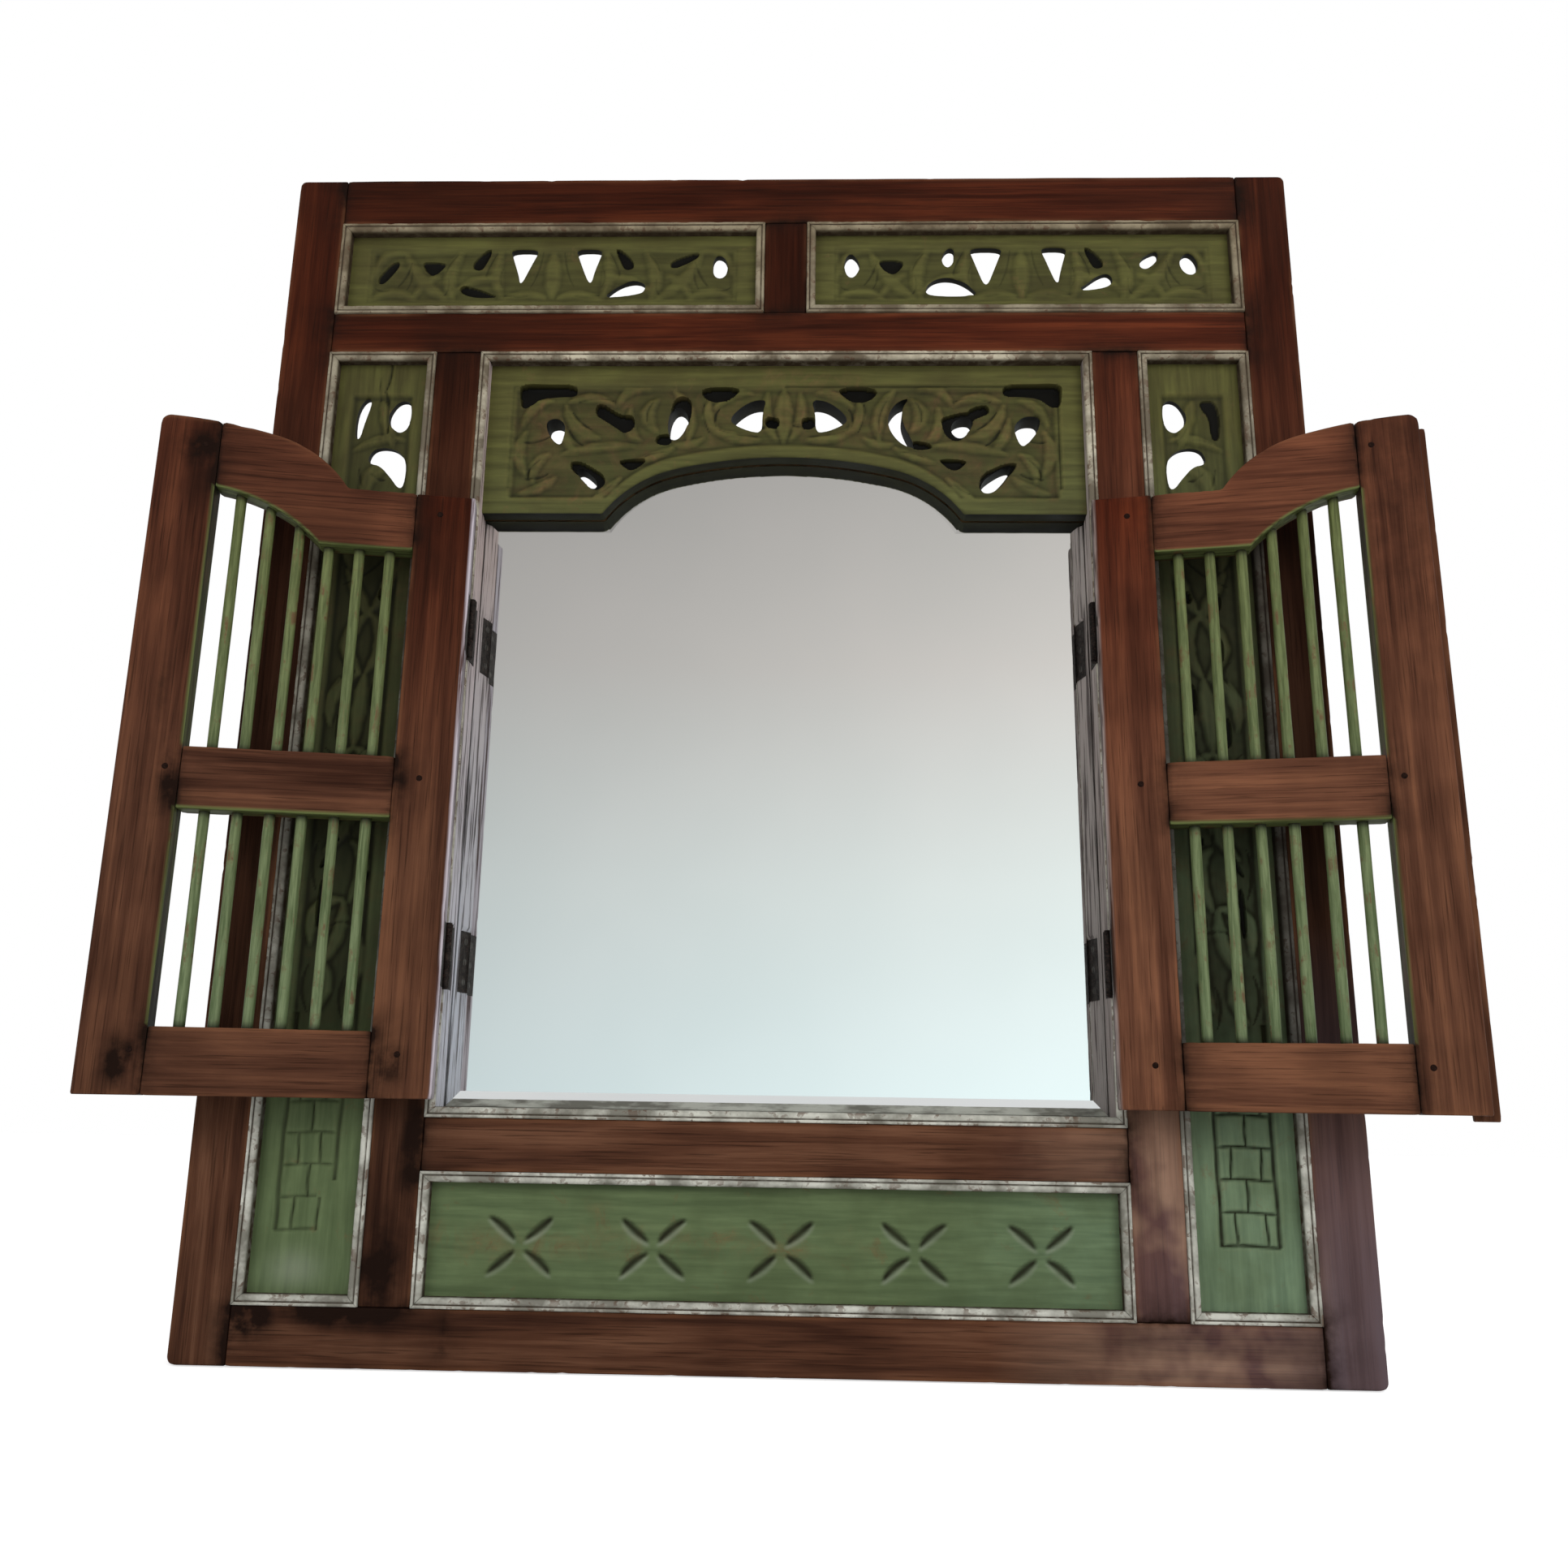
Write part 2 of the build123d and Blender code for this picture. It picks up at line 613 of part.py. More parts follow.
board_x = mirror_x - seat_fit
with BuildPart() as arch_board:
    block(-board_x, board_x, front_y + arch_recess, arch_back_y, shoulder_z, second_rail_z - seat_fit)
    extrude(arch_outline(0.0, board_x + overrun, shoulder_z - overrun), amount=-frame_thickness,
            mode=Mode.SUBTRACT)
    with BuildSketch(Plane.XZ.offset(-glass_y)) as rebate:
        add(arch_outline(glass_overlap + seat_fit, board_x + overrun, shoulder_z - overrun)
            .moved(Location((0, glass_y - front_y, 0))))
    extrude(rebate.sketch, amount=-frame_thickness, mode=Mode.SUBTRACT)
    arch_middle = (0, (shoulder_z + second_rail_z - trim_width) / 2)
    arch_half_height = (second_rail_z - trim_width - shoulder_z) / 2
    for flip in (LEFT, RIGHT):
        cut_from_front(carved_holes(arch_through_shares, arch_middle, jamb_x, arch_half_height, flip),
                       arch_recess, arch_board_thickness + overrun)
        cut_from_front(carved_holes(arch_blind_shares, arch_middle, jamb_x, arch_half_height, flip),
                       arch_recess, arch_lip / 2)
save(arch_board, "arch_board")


# Looking glass, bevelled all round, and the board behind it

def glass_face(inset, y):
    """Outline of the glass drawn in from its edge, at a distance from the wall."""
    face = arch_outline(glass_overlap - inset, board_x - inset, mirror_z + seat_fit + inset)
    return face.moved(Location((0, y - front_y, 0)))


with BuildPart() as glass:
    bevel_foot = glass_face(0.0, glass_y + bevel_depth)
    extrude(bevel_foot, amount=bevel_depth - glass_thickness)
    loft([bevel_foot, glass_face(bevel_width, glass_y)], ruled=True)
save(glass, "mirror_glass")

with BuildPart() as backing:
    extrude(glass_face(0.0, backing_y), amount=-backing_thickness)
save(backing, "backing_board")

cleat_places = cleat_sides + cleat_foot + cleat_head
with BuildPart() as cleats:
    for x, z, turn in cleat_places:
        x0, x1, z0, z1 = cleat_box(x, z, turn)
        block(x0, x1, -cleat_thickness, 0, z0, z1)
        countersunk(cleat_screw_place(x, z, turn), screw_fit, Mode.SUBTRACT)
save(cleats, "retaining_cleats")
slotted_screws([cleat_screw_place(*place) for place in cleat_places], "cleat_screws")


# Hanging plates

with BuildPart() as hanger_plates:
    for side in (LEFT, RIGHT):
        block(side * hanger_x - hanger_plate_width / 2, side * hanger_x + hanger_plate_width / 2,
              -hanger_plate_thickness, 0, hanger_z - hanger_plate_height / 2,
              hanger_z + hanger_plate_height / 2)
        with Locations(Plane(origin=(side * hanger_x, 0, hanger_z), z_dir=(0, 1, 0))):
            Hole(hanger_hole_radius, hanger_plate_thickness)
        for place in hanger_screw_places:
            centre = place.origin
            countersunk(Plane(origin=(side * centre.X, centre.Y, centre.Z), z_dir=(0, 1, 0)), screw_fit,
                        Mode.SUBTRACT)
save(hanger_plates, "hanging_plates")
slotted_screws([Plane(origin=(side * place.origin.X, 0, place.origin.Z), z_dir=(0, 1, 0))
                for side in (LEFT, RIGHT) for place in hanger_screw_places], "hanging_plate_screws")


# Shutters. Each is drawn flat on its own face plane, with its pin's line as the left edge of the
# drawing, and stands open at the rest angle. Depths are measured from the pin towards the room.

shutter_back = knuckle_radius
shutter_face = knuckle_radius + shutter_thickness
hinge_stile_edge = shutter_near + shutter_stile_width
meeting_stile_edge = shutter_far - shutter_stile_width
mid_rail_z = shutter_bottom + shutter_mid_rail_rise
bottom_rail_top = shutter_bottom + shutter_rail_height
mid_rail_top = mid_rail_z + shutter_rail_height
top_rail_base = shutter_top - shutter_top_rail_drop
tenon_back_depth = shutter_back + (shutter_thickness - shutter_tenon_thickness) / 2
tenon_front_depth = tenon_back_depth + shutter_tenon_thickness
spindle_depth = shutter_back + shutter_thickness / 2


def leaf_plane(side, depth):
    """Drawing plane of a shutter at a depth in front of its pin: X runs from the pin, Y up."""
    along = Vector(side * cos(rest_turn), -sin(rest_turn), 0)
    ahead = Vector(-side * sin(rest_turn), -cos(rest_turn), 0)
    return Plane(origin=Vector(side * pin_x, pin_y, 0) + ahead * depth, x_dir=along,
                 z_dir=along.cross(Vector(0, 0, 1)))


def raise_leaf(sketch, side, thickness, mode=Mode.ADD):
    """Give a shutter outline its thickness towards the room."""
    extrude(sketch, amount=side * thickness, mode=mode)


def leaf_box(side, u0, u1, depth0, depth1, z0, z1, mode=Mode.ADD):
    """Straight-sided block in a shutter's own directions."""
    with BuildSketch(leaf_plane(side, depth0)) as base:
        with Locations(((u0 + u1) / 2, (z0 + z1) / 2)):
            Rectangle(u1 - u0, z1 - z0)
    raise_leaf(base.sketch, side, depth1 - depth0, mode)


def leaf_tenon(side, u0, u1, z0, z1, grow=0.0, mode=Mode.ADD):
    """Tenon, or its mortise when it is grown and cut."""
    leaf_box(side, u0, u1, tenon_back_depth - grow, tenon_front_depth + grow, z0 - grow, z1 + grow, mode)


def curved_top(side, u0, u1, base_z, depth):
    """Outline between two distances from the pin, cut on top along the arch line."""
    joint, side_middle, foot, crown = arch_marks(-arch_gap)
    with BuildSketch(leaf_plane(side, depth)) as outline:
        with BuildLine():
            Polyline((u0, shutter_top), (u0, base_z), (u1, base_z), (u1, crown))
            ThreePointArc((u1, crown), ((pin_x - joint[0] + u1) / 2, crown_height((pin_x - joint[0] + u1) / 2)),
                          (pin_x - joint[0], joint[1]))
            ThreePointArc((pin_x - joint[0], joint[1]), (pin_x - side_middle[0], side_middle[1]),
                          (pin_x - foot[0], foot[1]))
            Line((pin_x - foot[0], foot[1]), (u0, shutter_top))
        make_face()
    return outline.sketch


def crown_height(u):
    """Height of the crown curve, less the arch gap, at a distance from the pin."""
    return crown_centre_z + sqrt((arch_crown_radius - arch_gap) ** 2 - (pin_x - u) ** 2)


def peg_places(side):
    """Planes of the pegs that lock a shutter's six tenons, on its room side."""
    rails = [(low + high) / 2 + peg_rise for low, high in hinge_rails]
    meeting_rails = rails[:2] + [rails[2] + rail_climb]
    faces = leaf_plane(side, shutter_face)
    places = [(hinge_stile_edge - hinge_peg_inset, z) for z in rails]
    places += [(meeting_stile_edge + meeting_peg_inset, z) for z in meeting_rails]
    return [Plane(origin=faces.from_local_coords((u, z, 0)), z_dir=faces.z_dir * side) for u, z in places]


def cut_pegs(side):
    """Holes for a shutter's pegs."""
    for place in peg_places(side):
        with Locations(place):
            Cylinder(peg_radius + spindle_fit, peg_depth, align=INTO, mode=Mode.SUBTRACT)


def spindle_places():
    """Distances of a shutter's spindles from its pin."""
    first = hinge_stile_edge + spindle_end_gap
    pitch = (meeting_stile_edge - spindle_end_gap - first) / (spindle_count - 1)
    return [first + place * pitch for place in range(spindle_count)]


def rail_arc_height(u):
    """Height of the top rail's curved lower edge at a distance from the pin."""
    start_u, start_z, end_u, end_z = rail_arc_ends()
    chord_u, chord_z = end_u - start_u, end_z - start_z
    chord = sqrt(chord_u ** 2 + chord_z ** 2)
    rise = sqrt(shutter_rail_arc_radius ** 2 - chord ** 2 / 4)
    centre_u = (start_u + end_u) / 2 + chord_z / chord * rise
    centre_z = (start_z + end_z) / 2 - chord_u / chord * rise
    return centre_z + sqrt(shutter_rail_arc_radius ** 2 - (u - centre_u) ** 2)


def rail_arc_ends():
    """Kink at the foot of the top rail's lower curve, and its end on the meeting stile."""
    joint, side_middle, foot, crown = arch_marks(-arch_gap)
    start_u = pin_x - foot[0] + shutter_rail_kink_in
    end_z = crown_height(meeting_stile_edge) - shutter_top_rail_drop - shutter_rail_arc_drop
    return start_u, top_rail_base, meeting_stile_edge, end_z


def spindle_top(u):
    """Where an upper spindle meets the underside of the top rail."""
    kink = rail_arc_ends()[0]
    return top_rail_base if u <= kink else rail_arc_height(u)


def spindles(side, base_z, top_heights, grow=0.0, mode=Mode.ADD):
    """Round bars let into the rail below and the rail above, or the holes they need."""
    middle = leaf_plane(side, spindle_depth)
    for u, top_z in zip(spindle_places(), top_heights):
        foot = middle.from_local_coords((u, base_z - spindle_seat - grow, 0))
        with Locations(Plane(origin=foot)):
            Cylinder(spindle_radius + grow, top_z - base_z + 2 * (spindle_seat + grow), align=OUT, mode=mode)


upper_tops = [spindle_top(u) for u in spindle_places()]
lower_tops = [mid_rail_z] * spindle_count
hinge_rails = ((shutter_bottom, bottom_rail_top), (mid_rail_z, mid_rail_top), (top_rail_base, shutter_top))
rail_climb = arch_crown_rise - shutter_rail_arc_drop


def rail_tenons(side, grow=0.0, mode=Mode.ADD, rows=hinge_rails, lift=0.0):
    """Tenons of the rails at both ends, lifted at the meeting stile where the rail climbs."""
    for low, high in rows:
        leaf_tenon(side, hinge_stile_edge - shutter_tenon_length - grow, hinge_stile_edge,
                   low + tenon_shoulder, high - tenon_shoulder, grow, mode)
        leaf_tenon(side, meeting_stile_edge, meeting_stile_edge + shutter_tenon_length + grow,
                   low + lift + tenon_shoulder, high + lift - tenon_shoulder, grow, mode)


def leaf_screw_places(side):
    """Planes of the screws that hold a shutter's hinge plates, facing its pin."""
    flat = leaf_plane(side, plate_middle)
    return [Plane(origin=flat.from_local_coords((shutter_near, z + row, 0)), z_dir=flat.x_dir * -1,
                  x_dir=(0, 0, 1)) for z in hinge_centres for row in screw_rows]


def room_edges(piece, side):
    """Edges round the face that a shutter's piece turns to the room."""
    outward = leaf_plane(side, shutter_face).z_dir * side
    return piece.faces().sort_by(Axis((0, 0, 0), outward))[-1].edges()


def make_shutter(side):
    """All the wooden pieces of one shutter."""
    hand = SIDE_NAMES[side]

    with BuildPart() as hinge_stile:
        leaf_box(side, shutter_near, hinge_stile_edge, shutter_back, shutter_face, shutter_bottom, shutter_top)
        fillet(room_edges(hinge_stile, side), radius=shutter_edge_round)
        rail_tenons(side, tenon_fit, Mode.SUBTRACT)
        for z in hinge_centres:
            leaf_box(side, shutter_near - overrun, shutter_near + hinge_plate_thickness + tenon_fit,
                     shutter_back - overrun, plate_start + hinge_plate_width + seat_fit,
                     z - hinge_height / 2 - seat_fit, z + hinge_height / 2 + seat_fit, Mode.SUBTRACT)
        for place in leaf_screw_places(side):
            countersunk(place, screw_fit, Mode.SUBTRACT)
        cut_pegs(side)
    save(hinge_stile, f"shutter_{hand}_hinge_stile")

    with BuildPart() as meeting_stile:
        raise_leaf(curved_top(side, shutter_near, shutter_far, shutter_bottom, shutter_back), side,
                   shutter_thickness)
        leaf_box(side, shutter_near - overrun, meeting_stile_edge, shutter_back - overrun,
                 shutter_face + overrun, shutter_bottom - overrun, frame_height, Mode.SUBTRACT)
        fillet(meeting_stile.edges().filter_by(Axis.Y, tolerance=shutter_rest_angle * 2)
               .filter_by(GeomType.LINE).group_by(Axis.Z)[-1].sort_by_distance(
                   leaf_plane(side, shutter_face).from_local_coords((shutter_far, frame_height, 0)))[0],
               radius=shutter_corner_radius)
        fillet(room_edges(meeting_stile, side), radius=shutter_edge_round)
        rail_tenons(side, tenon_fit, Mode.SUBTRACT, hinge_rails[:2])
        rail_tenons(side, tenon_fit, Mode.SUBTRACT, hinge_rails[2:], rail_climb)
        cut_pegs(side)
    save(meeting_stile, f"shutter_{hand}_meeting_stile")

    with BuildPart() as shutter_top_rail:
        start_u, start_z, end_u, end_z = rail_arc_ends()
        raise_leaf(curved_top(side, shutter_near, shutter_far, top_rail_base, shutter_back), side,
                   shutter_thickness)
        leaf_box(side, shutter_near - overrun, hinge_stile_edge, shutter_back - overrun,
                 shutter_face + overrun, shutter_bottom, frame_height, Mode.SUBTRACT)
        leaf_box(side, meeting_stile_edge, shutter_far + overrun, shutter_back - overrun,
                 shutter_face + overrun, shutter_bottom, frame_height, Mode.SUBTRACT)
        with BuildSketch(leaf_plane(side, shutter_back - overrun)) as hollow:
            with BuildLine():
                ThreePointArc((start_u, start_z),
                              ((start_u + end_u) / 2, rail_arc_height((start_u + end_u) / 2)), (end_u, end_z))
                Polyline((end_u, end_z), (end_u, start_z), (start_u, start_z))
            make_face()
        raise_leaf(hollow.sketch, side, shutter_thickness + 2 * overrun, Mode.SUBTRACT)
        rail_tenons(side, rows=hinge_rails[2:], lift=rail_climb)
        spindles(side, mid_rail_top, upper_tops, spindle_fit, Mode.SUBTRACT)
        cut_pegs(side)
    save(shutter_top_rail, f"shutter_{hand}_top_rail")

    for label, (low, high) in (("mid_rail", hinge_rails[1]), ("bottom_rail", hinge_rails[0])):
        with BuildPart() as cross_bar:
            leaf_box(side, hinge_stile_edge, meeting_stile_edge, shutter_back, shutter_face, low, high)
            fillet(room_edges(cross_bar, side).filter_by(Axis.Z, reverse=True), radius=shutter_edge_round)
            rail_tenons(side, rows=((low, high),))
            spindles(side, bottom_rail_top, lower_tops, spindle_fit, Mode.SUBTRACT)
            spindles(side, mid_rail_top, upper_tops, spindle_fit, Mode.SUBTRACT)
            cut_pegs(side)
        save(cross_bar, f"shutter_{hand}_{label}")

    with BuildPart() as upper_bars:
        spindles(side, mid_rail_top, upper_tops)
    save(upper_bars, f"shutter_{hand}_upper_spindles")

    with BuildPart() as lower_bars:
        spindles(side, bottom_rail_top, lower_tops)
    save(lower_bars, f"shutter_{hand}_lower_spindles")

    with BuildPart() as pegs:
        for place in peg_places(side):
            with Locations(place):
                Cylinder(peg_radius, peg_depth - peg_end_gap, align=INTO)
    save(pegs, f"shutter_{hand}_pegs")


def make_hinges(side):
    """Two butt hinges: fixed plates, shutter plates, pins and screws."""
    hand = SIDE_NAMES[side]
    rings = [(z, ring) for z in hinge_centres for ring in range(knuckle_count)]

    def barrel(z, ring):
        with Locations(hinge_pin_place(side, z).offset(ring * knuckle_height + knuckle_end_gap / 2)):
            Cylinder(knuckle_radius, knuckle_height - knuckle_end_gap, align=OUT)

    def clear_barrel(z, ring):
        with Locations(hinge_pin_place(side, z).offset(ring * knuckle_height - knuckle_end_gap / 2)):
            Cylinder(knuckle_radius + knuckle_clearance, knuckle_height + knuckle_end_gap, align=OUT,
                     mode=Mode.SUBTRACT)

    def make_barrels(own):
        for z, ring in rings:
            if ring % 2 != own:
                clear_barrel(z, ring)
        for z, ring in rings:
            if ring % 2 == own:
                barrel(z, ring)

    def bore(grow):
        for z in hinge_centres:
            with Locations(hinge_pin_place(side, z).offset(-overrun)):
                Cylinder(pin_radius + grow, hinge_height + 2 * overrun, align=OUT, mode=Mode.SUBTRACT)

    with BuildPart() as fixed_plates:
        for z in hinge_centres:
            block(side * jamb_x, side * (jamb_x + hinge_plate_thickness), pin_y,
                  pin_y + plate_start + hinge_plate_width, z - hinge_height / 2, z + hinge_height / 2)
        make_barrels(0)
        bore(0)
        for place in jamb_screw_places(side):
            countersunk(place, screw_fit, Mode.SUBTRACT)
    save(fixed_plates, f"hinge_{hand}_fixed_plates")

    with BuildPart() as swinging_plates:
        for z in hinge_centres:
            leaf_box(side, shutter_near, shutter_near + hinge_plate_thickness, 0,
                     plate_start + hinge_plate_width, z - hinge_height / 2, z + hinge_height / 2)
        make_barrels(1)
        bore(pin_fit)
        for place in leaf_screw_places(side):
            countersunk(place, screw_fit, Mode.SUBTRACT)
    save(swinging_plates, f"hinge_{hand}_swinging_plates")

    with BuildPart() as pins:
        for z in hinge_centres:
            with Locations(hinge_pin_place(side, z)):
                Cylinder(pin_radius, hinge_height, align=OUT)
            for end in (-pin_head_height, hinge_height):
                with Locations(hinge_pin_place(side, z).offset(end)):
                    Cylinder(pin_head_radius, pin_head_height, align=OUT)
    save(pins, f"hinge_{hand}_pins")

    slotted_screws(jamb_screw_places(side), f"hinge_{hand}_jamb_screws")
    slotted_screws(leaf_screw_places(side), f"hinge_{hand}_shutter_screws")


for side in (LEFT, RIGHT):
    make_shutter(side)
    make_hinges(side)

# Cover strip, fixed to the right shutter's outer face and standing past its meeting edge
with BuildPart() as cover_strip:
    strip_top = crown_height(shutter_far) - cover_top_gap
    strip_start = shutter_far - cover_overlap
    leaf_box(RIGHT, strip_start, strip_start + cover_width, shutter_back - cover_thickness, shutter_back,
             shutter_bottom - cover_drop, strip_top)
    leaf_box(RIGHT, shutter_far, strip_start + cover_width + overrun, shutter_back - cover_relief,
             shutter_back + overrun, shutter_bottom - cover_drop - overrun, strip_top + overrun,
             Mode.SUBTRACT)
save(cover_strip, "cover_strip")
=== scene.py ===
from math import asin, cos, pi, radians, sin, sqrt

import bpy
import numpy as np
from mathutils import Matrix, Vector


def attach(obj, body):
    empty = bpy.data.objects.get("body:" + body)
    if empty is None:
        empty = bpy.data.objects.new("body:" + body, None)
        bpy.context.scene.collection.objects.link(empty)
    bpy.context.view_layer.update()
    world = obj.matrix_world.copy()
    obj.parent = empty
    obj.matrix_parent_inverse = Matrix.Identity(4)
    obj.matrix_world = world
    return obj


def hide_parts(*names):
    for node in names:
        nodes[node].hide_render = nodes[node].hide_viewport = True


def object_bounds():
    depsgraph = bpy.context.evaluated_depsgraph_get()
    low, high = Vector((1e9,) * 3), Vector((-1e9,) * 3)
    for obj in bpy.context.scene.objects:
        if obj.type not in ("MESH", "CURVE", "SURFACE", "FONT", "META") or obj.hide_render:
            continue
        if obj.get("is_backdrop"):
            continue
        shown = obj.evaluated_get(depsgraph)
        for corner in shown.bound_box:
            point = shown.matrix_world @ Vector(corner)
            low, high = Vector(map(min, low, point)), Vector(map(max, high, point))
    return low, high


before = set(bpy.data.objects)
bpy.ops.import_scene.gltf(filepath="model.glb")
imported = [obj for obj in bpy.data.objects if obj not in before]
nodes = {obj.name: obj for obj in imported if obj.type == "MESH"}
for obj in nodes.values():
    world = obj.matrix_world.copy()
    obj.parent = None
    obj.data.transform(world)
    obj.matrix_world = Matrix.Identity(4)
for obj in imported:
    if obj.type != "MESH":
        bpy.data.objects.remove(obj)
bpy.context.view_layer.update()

mm = 0.001


# Outer frame. Nine planed boards of old hardwood, stained dark red-brown and rubbed by years of use:
# two outer stiles, two inner stiles, four rails and a short mullion, joined by hidden tenons. Their arrises
# are eased unevenly, the joints have gone black with dirt, and the backs are let in for cleats and plates.

def paint(red, green, blue):
    """Linear colour of a paint or stain that shows as these three numbers from 0 to 255 on a screen."""
    shares = np.array([red, green, blue]) / 255
    linear = np.where(shares <= 0.04045, shares / 12.92, ((shares + 0.055) / 1.055) ** 2.4)
    return (*linear.tolist(), 1.0)


def ripple(points, size, seed):
    """Smooth uneven numbers from -1 to 1: seven sine waves added up, about one size long each, in seeded
    directions."""
    dice = np.random.default_rng(seed)
    total = np.zeros(points.shape[:-1])
    for _ in range(7):
        direction = dice.normal(size=3)
        direction /= np.linalg.norm(direction)
        length = size * dice.uniform(0.6, 1.6)
        total += np.sin(points @ direction * (2 * pi / length) + dice.uniform(0, 2 * pi))
    return np.clip(total / 3, -1, 1)


def surface(name, body, points, quads, triangles, material, slot, replaced, values, crease=38):
    """One closed piece from its points and faces, turned so that its volume is positive, with its wear
    numbers as attributes, creased where faces meet more steeply than an angle in degrees."""
    a, b, c, d = (points[quads[:, place]] for place in range(4))
    e, f, g = (points[triangles[:, place]] for place in range(3))
    volume = (a * np.cross(b, c)).sum() + (a * np.cross(c, d)).sum() + (e * np.cross(f, g)).sum()
    if volume < 0:
        quads, triangles = quads[:, ::-1], triangles[:, ::-1]
    mesh = bpy.data.meshes.new(name)
    mesh.vertices.add(len(points))
    mesh.vertices.foreach_set("co", points.astype(np.float32).ravel())
    corners = np.concatenate([quads.ravel(), triangles.ravel()]).astype(np.int32)
    mesh.loops.add(len(corners))
    mesh.loops.foreach_set("vertex_index", corners)
    starts = np.concatenate([np.arange(len(quads)) * 4, len(quads) * 4 + np.arange(len(triangles)) * 3])
    mesh.polygons.add(len(starts))
    mesh.polygons.foreach_set("loop_start", starts.astype(np.int32))
    mesh.update(calc_edges=True)
    mesh.validate()
    for label, numbers in values.items():
        layer = mesh.attributes.new(label, "FLOAT", "POINT")
        layer.data.foreach_set("value", np.asarray(numbers, np.float32).ravel())
    mesh.polygons.foreach_set("use_smooth", np.ones(len(mesh.polygons), bool))
    mesh.set_sharp_from_angle(angle=radians(crease))
    piece = bpy.data.objects.new(name, mesh)
    bpy.context.scene.collection.objects.link(piece)
    mesh.materials.append(material)
    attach(piece, body)
    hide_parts(*replaced)


def tube_faces(rings, around, first=0):
    """Quads between rings of points one after the other, each ring closed on itself."""
    ring = np.arange(rings - 1)[:, None] * around + first
    step = np.arange(around)[None, :]
    after = (step + 1) % around
    return np.stack([ring + step, ring + after, ring + around + after, ring + around + step],
                    axis=-1).reshape(-1, 4)


def end_faces(ring_start, around, middle):
    """Triangles from a ring of points to the point in its middle."""
    step = np.arange(around)
    return np.stack([ring_start + step, ring_start + (step + 1) % around, np.full(around, middle)], axis=-1)


def closed_tubes(tubes, ends=None):
    """Points, quads and triangles of several tubes as one mesh. Each tube is rings of points one after the
    other, closed at both ends by triangles to a point: the middle of its end ring, or one of its ends."""
    points, quads, triangles, count = [], [], [], 0
    for place, tube in enumerate(tubes):
        rings, around = tube.shape[:2]
        total = rings * around
        middles = (tube[0].mean(axis=0), tube[-1].mean(axis=0)) if ends is None else ends[place]
        points += [tube.reshape(-1, 3), middles]
        quads.append(tube_faces(rings, around, count))
        triangles += [end_faces(count, around, count + total)[:, ::-1],
                      end_faces(count + total - around, around, count + total + 1)]
        count += total + 2
    return np.concatenate(points), np.concatenate(quads), np.concatenate(triangles)


def spaced(low, high, step, extra=()):
    """Places from low to high about one step apart, with the extra ones between them."""
    places = np.linspace(low, high, max(2, int(round((high - low) / step)) + 1))
    extra = np.array([place for place in extra if low < place < high])
    if len(extra):
        places = places[np.abs(places[:, None] - extra).min(axis=1) > step / 5]
    return np.sort(np.concatenate([places, extra]))


arris = 0.9 * mm
hair = 0.05 * mm
section_step, length_step = 3.5 * mm, 4.5 * mm
worn_band, chip_deep, plane_dip = 1.6 * mm, 0.9 * mm, 0.16 * mm


def both_sides(places):
    """Places a hair before and a hair after each of these, where a step in a surface stands."""
    return [place + shift for place in places for shift in (-hair, hair)]


def between(heights, low, high, fade=50 * mm):
    """One between two heights and nothing outside them, with an even slope just inside each."""
    return np.clip((heights - low) / fade, 0, 1) * np.clip((high - heights) / fade, 0, 1)


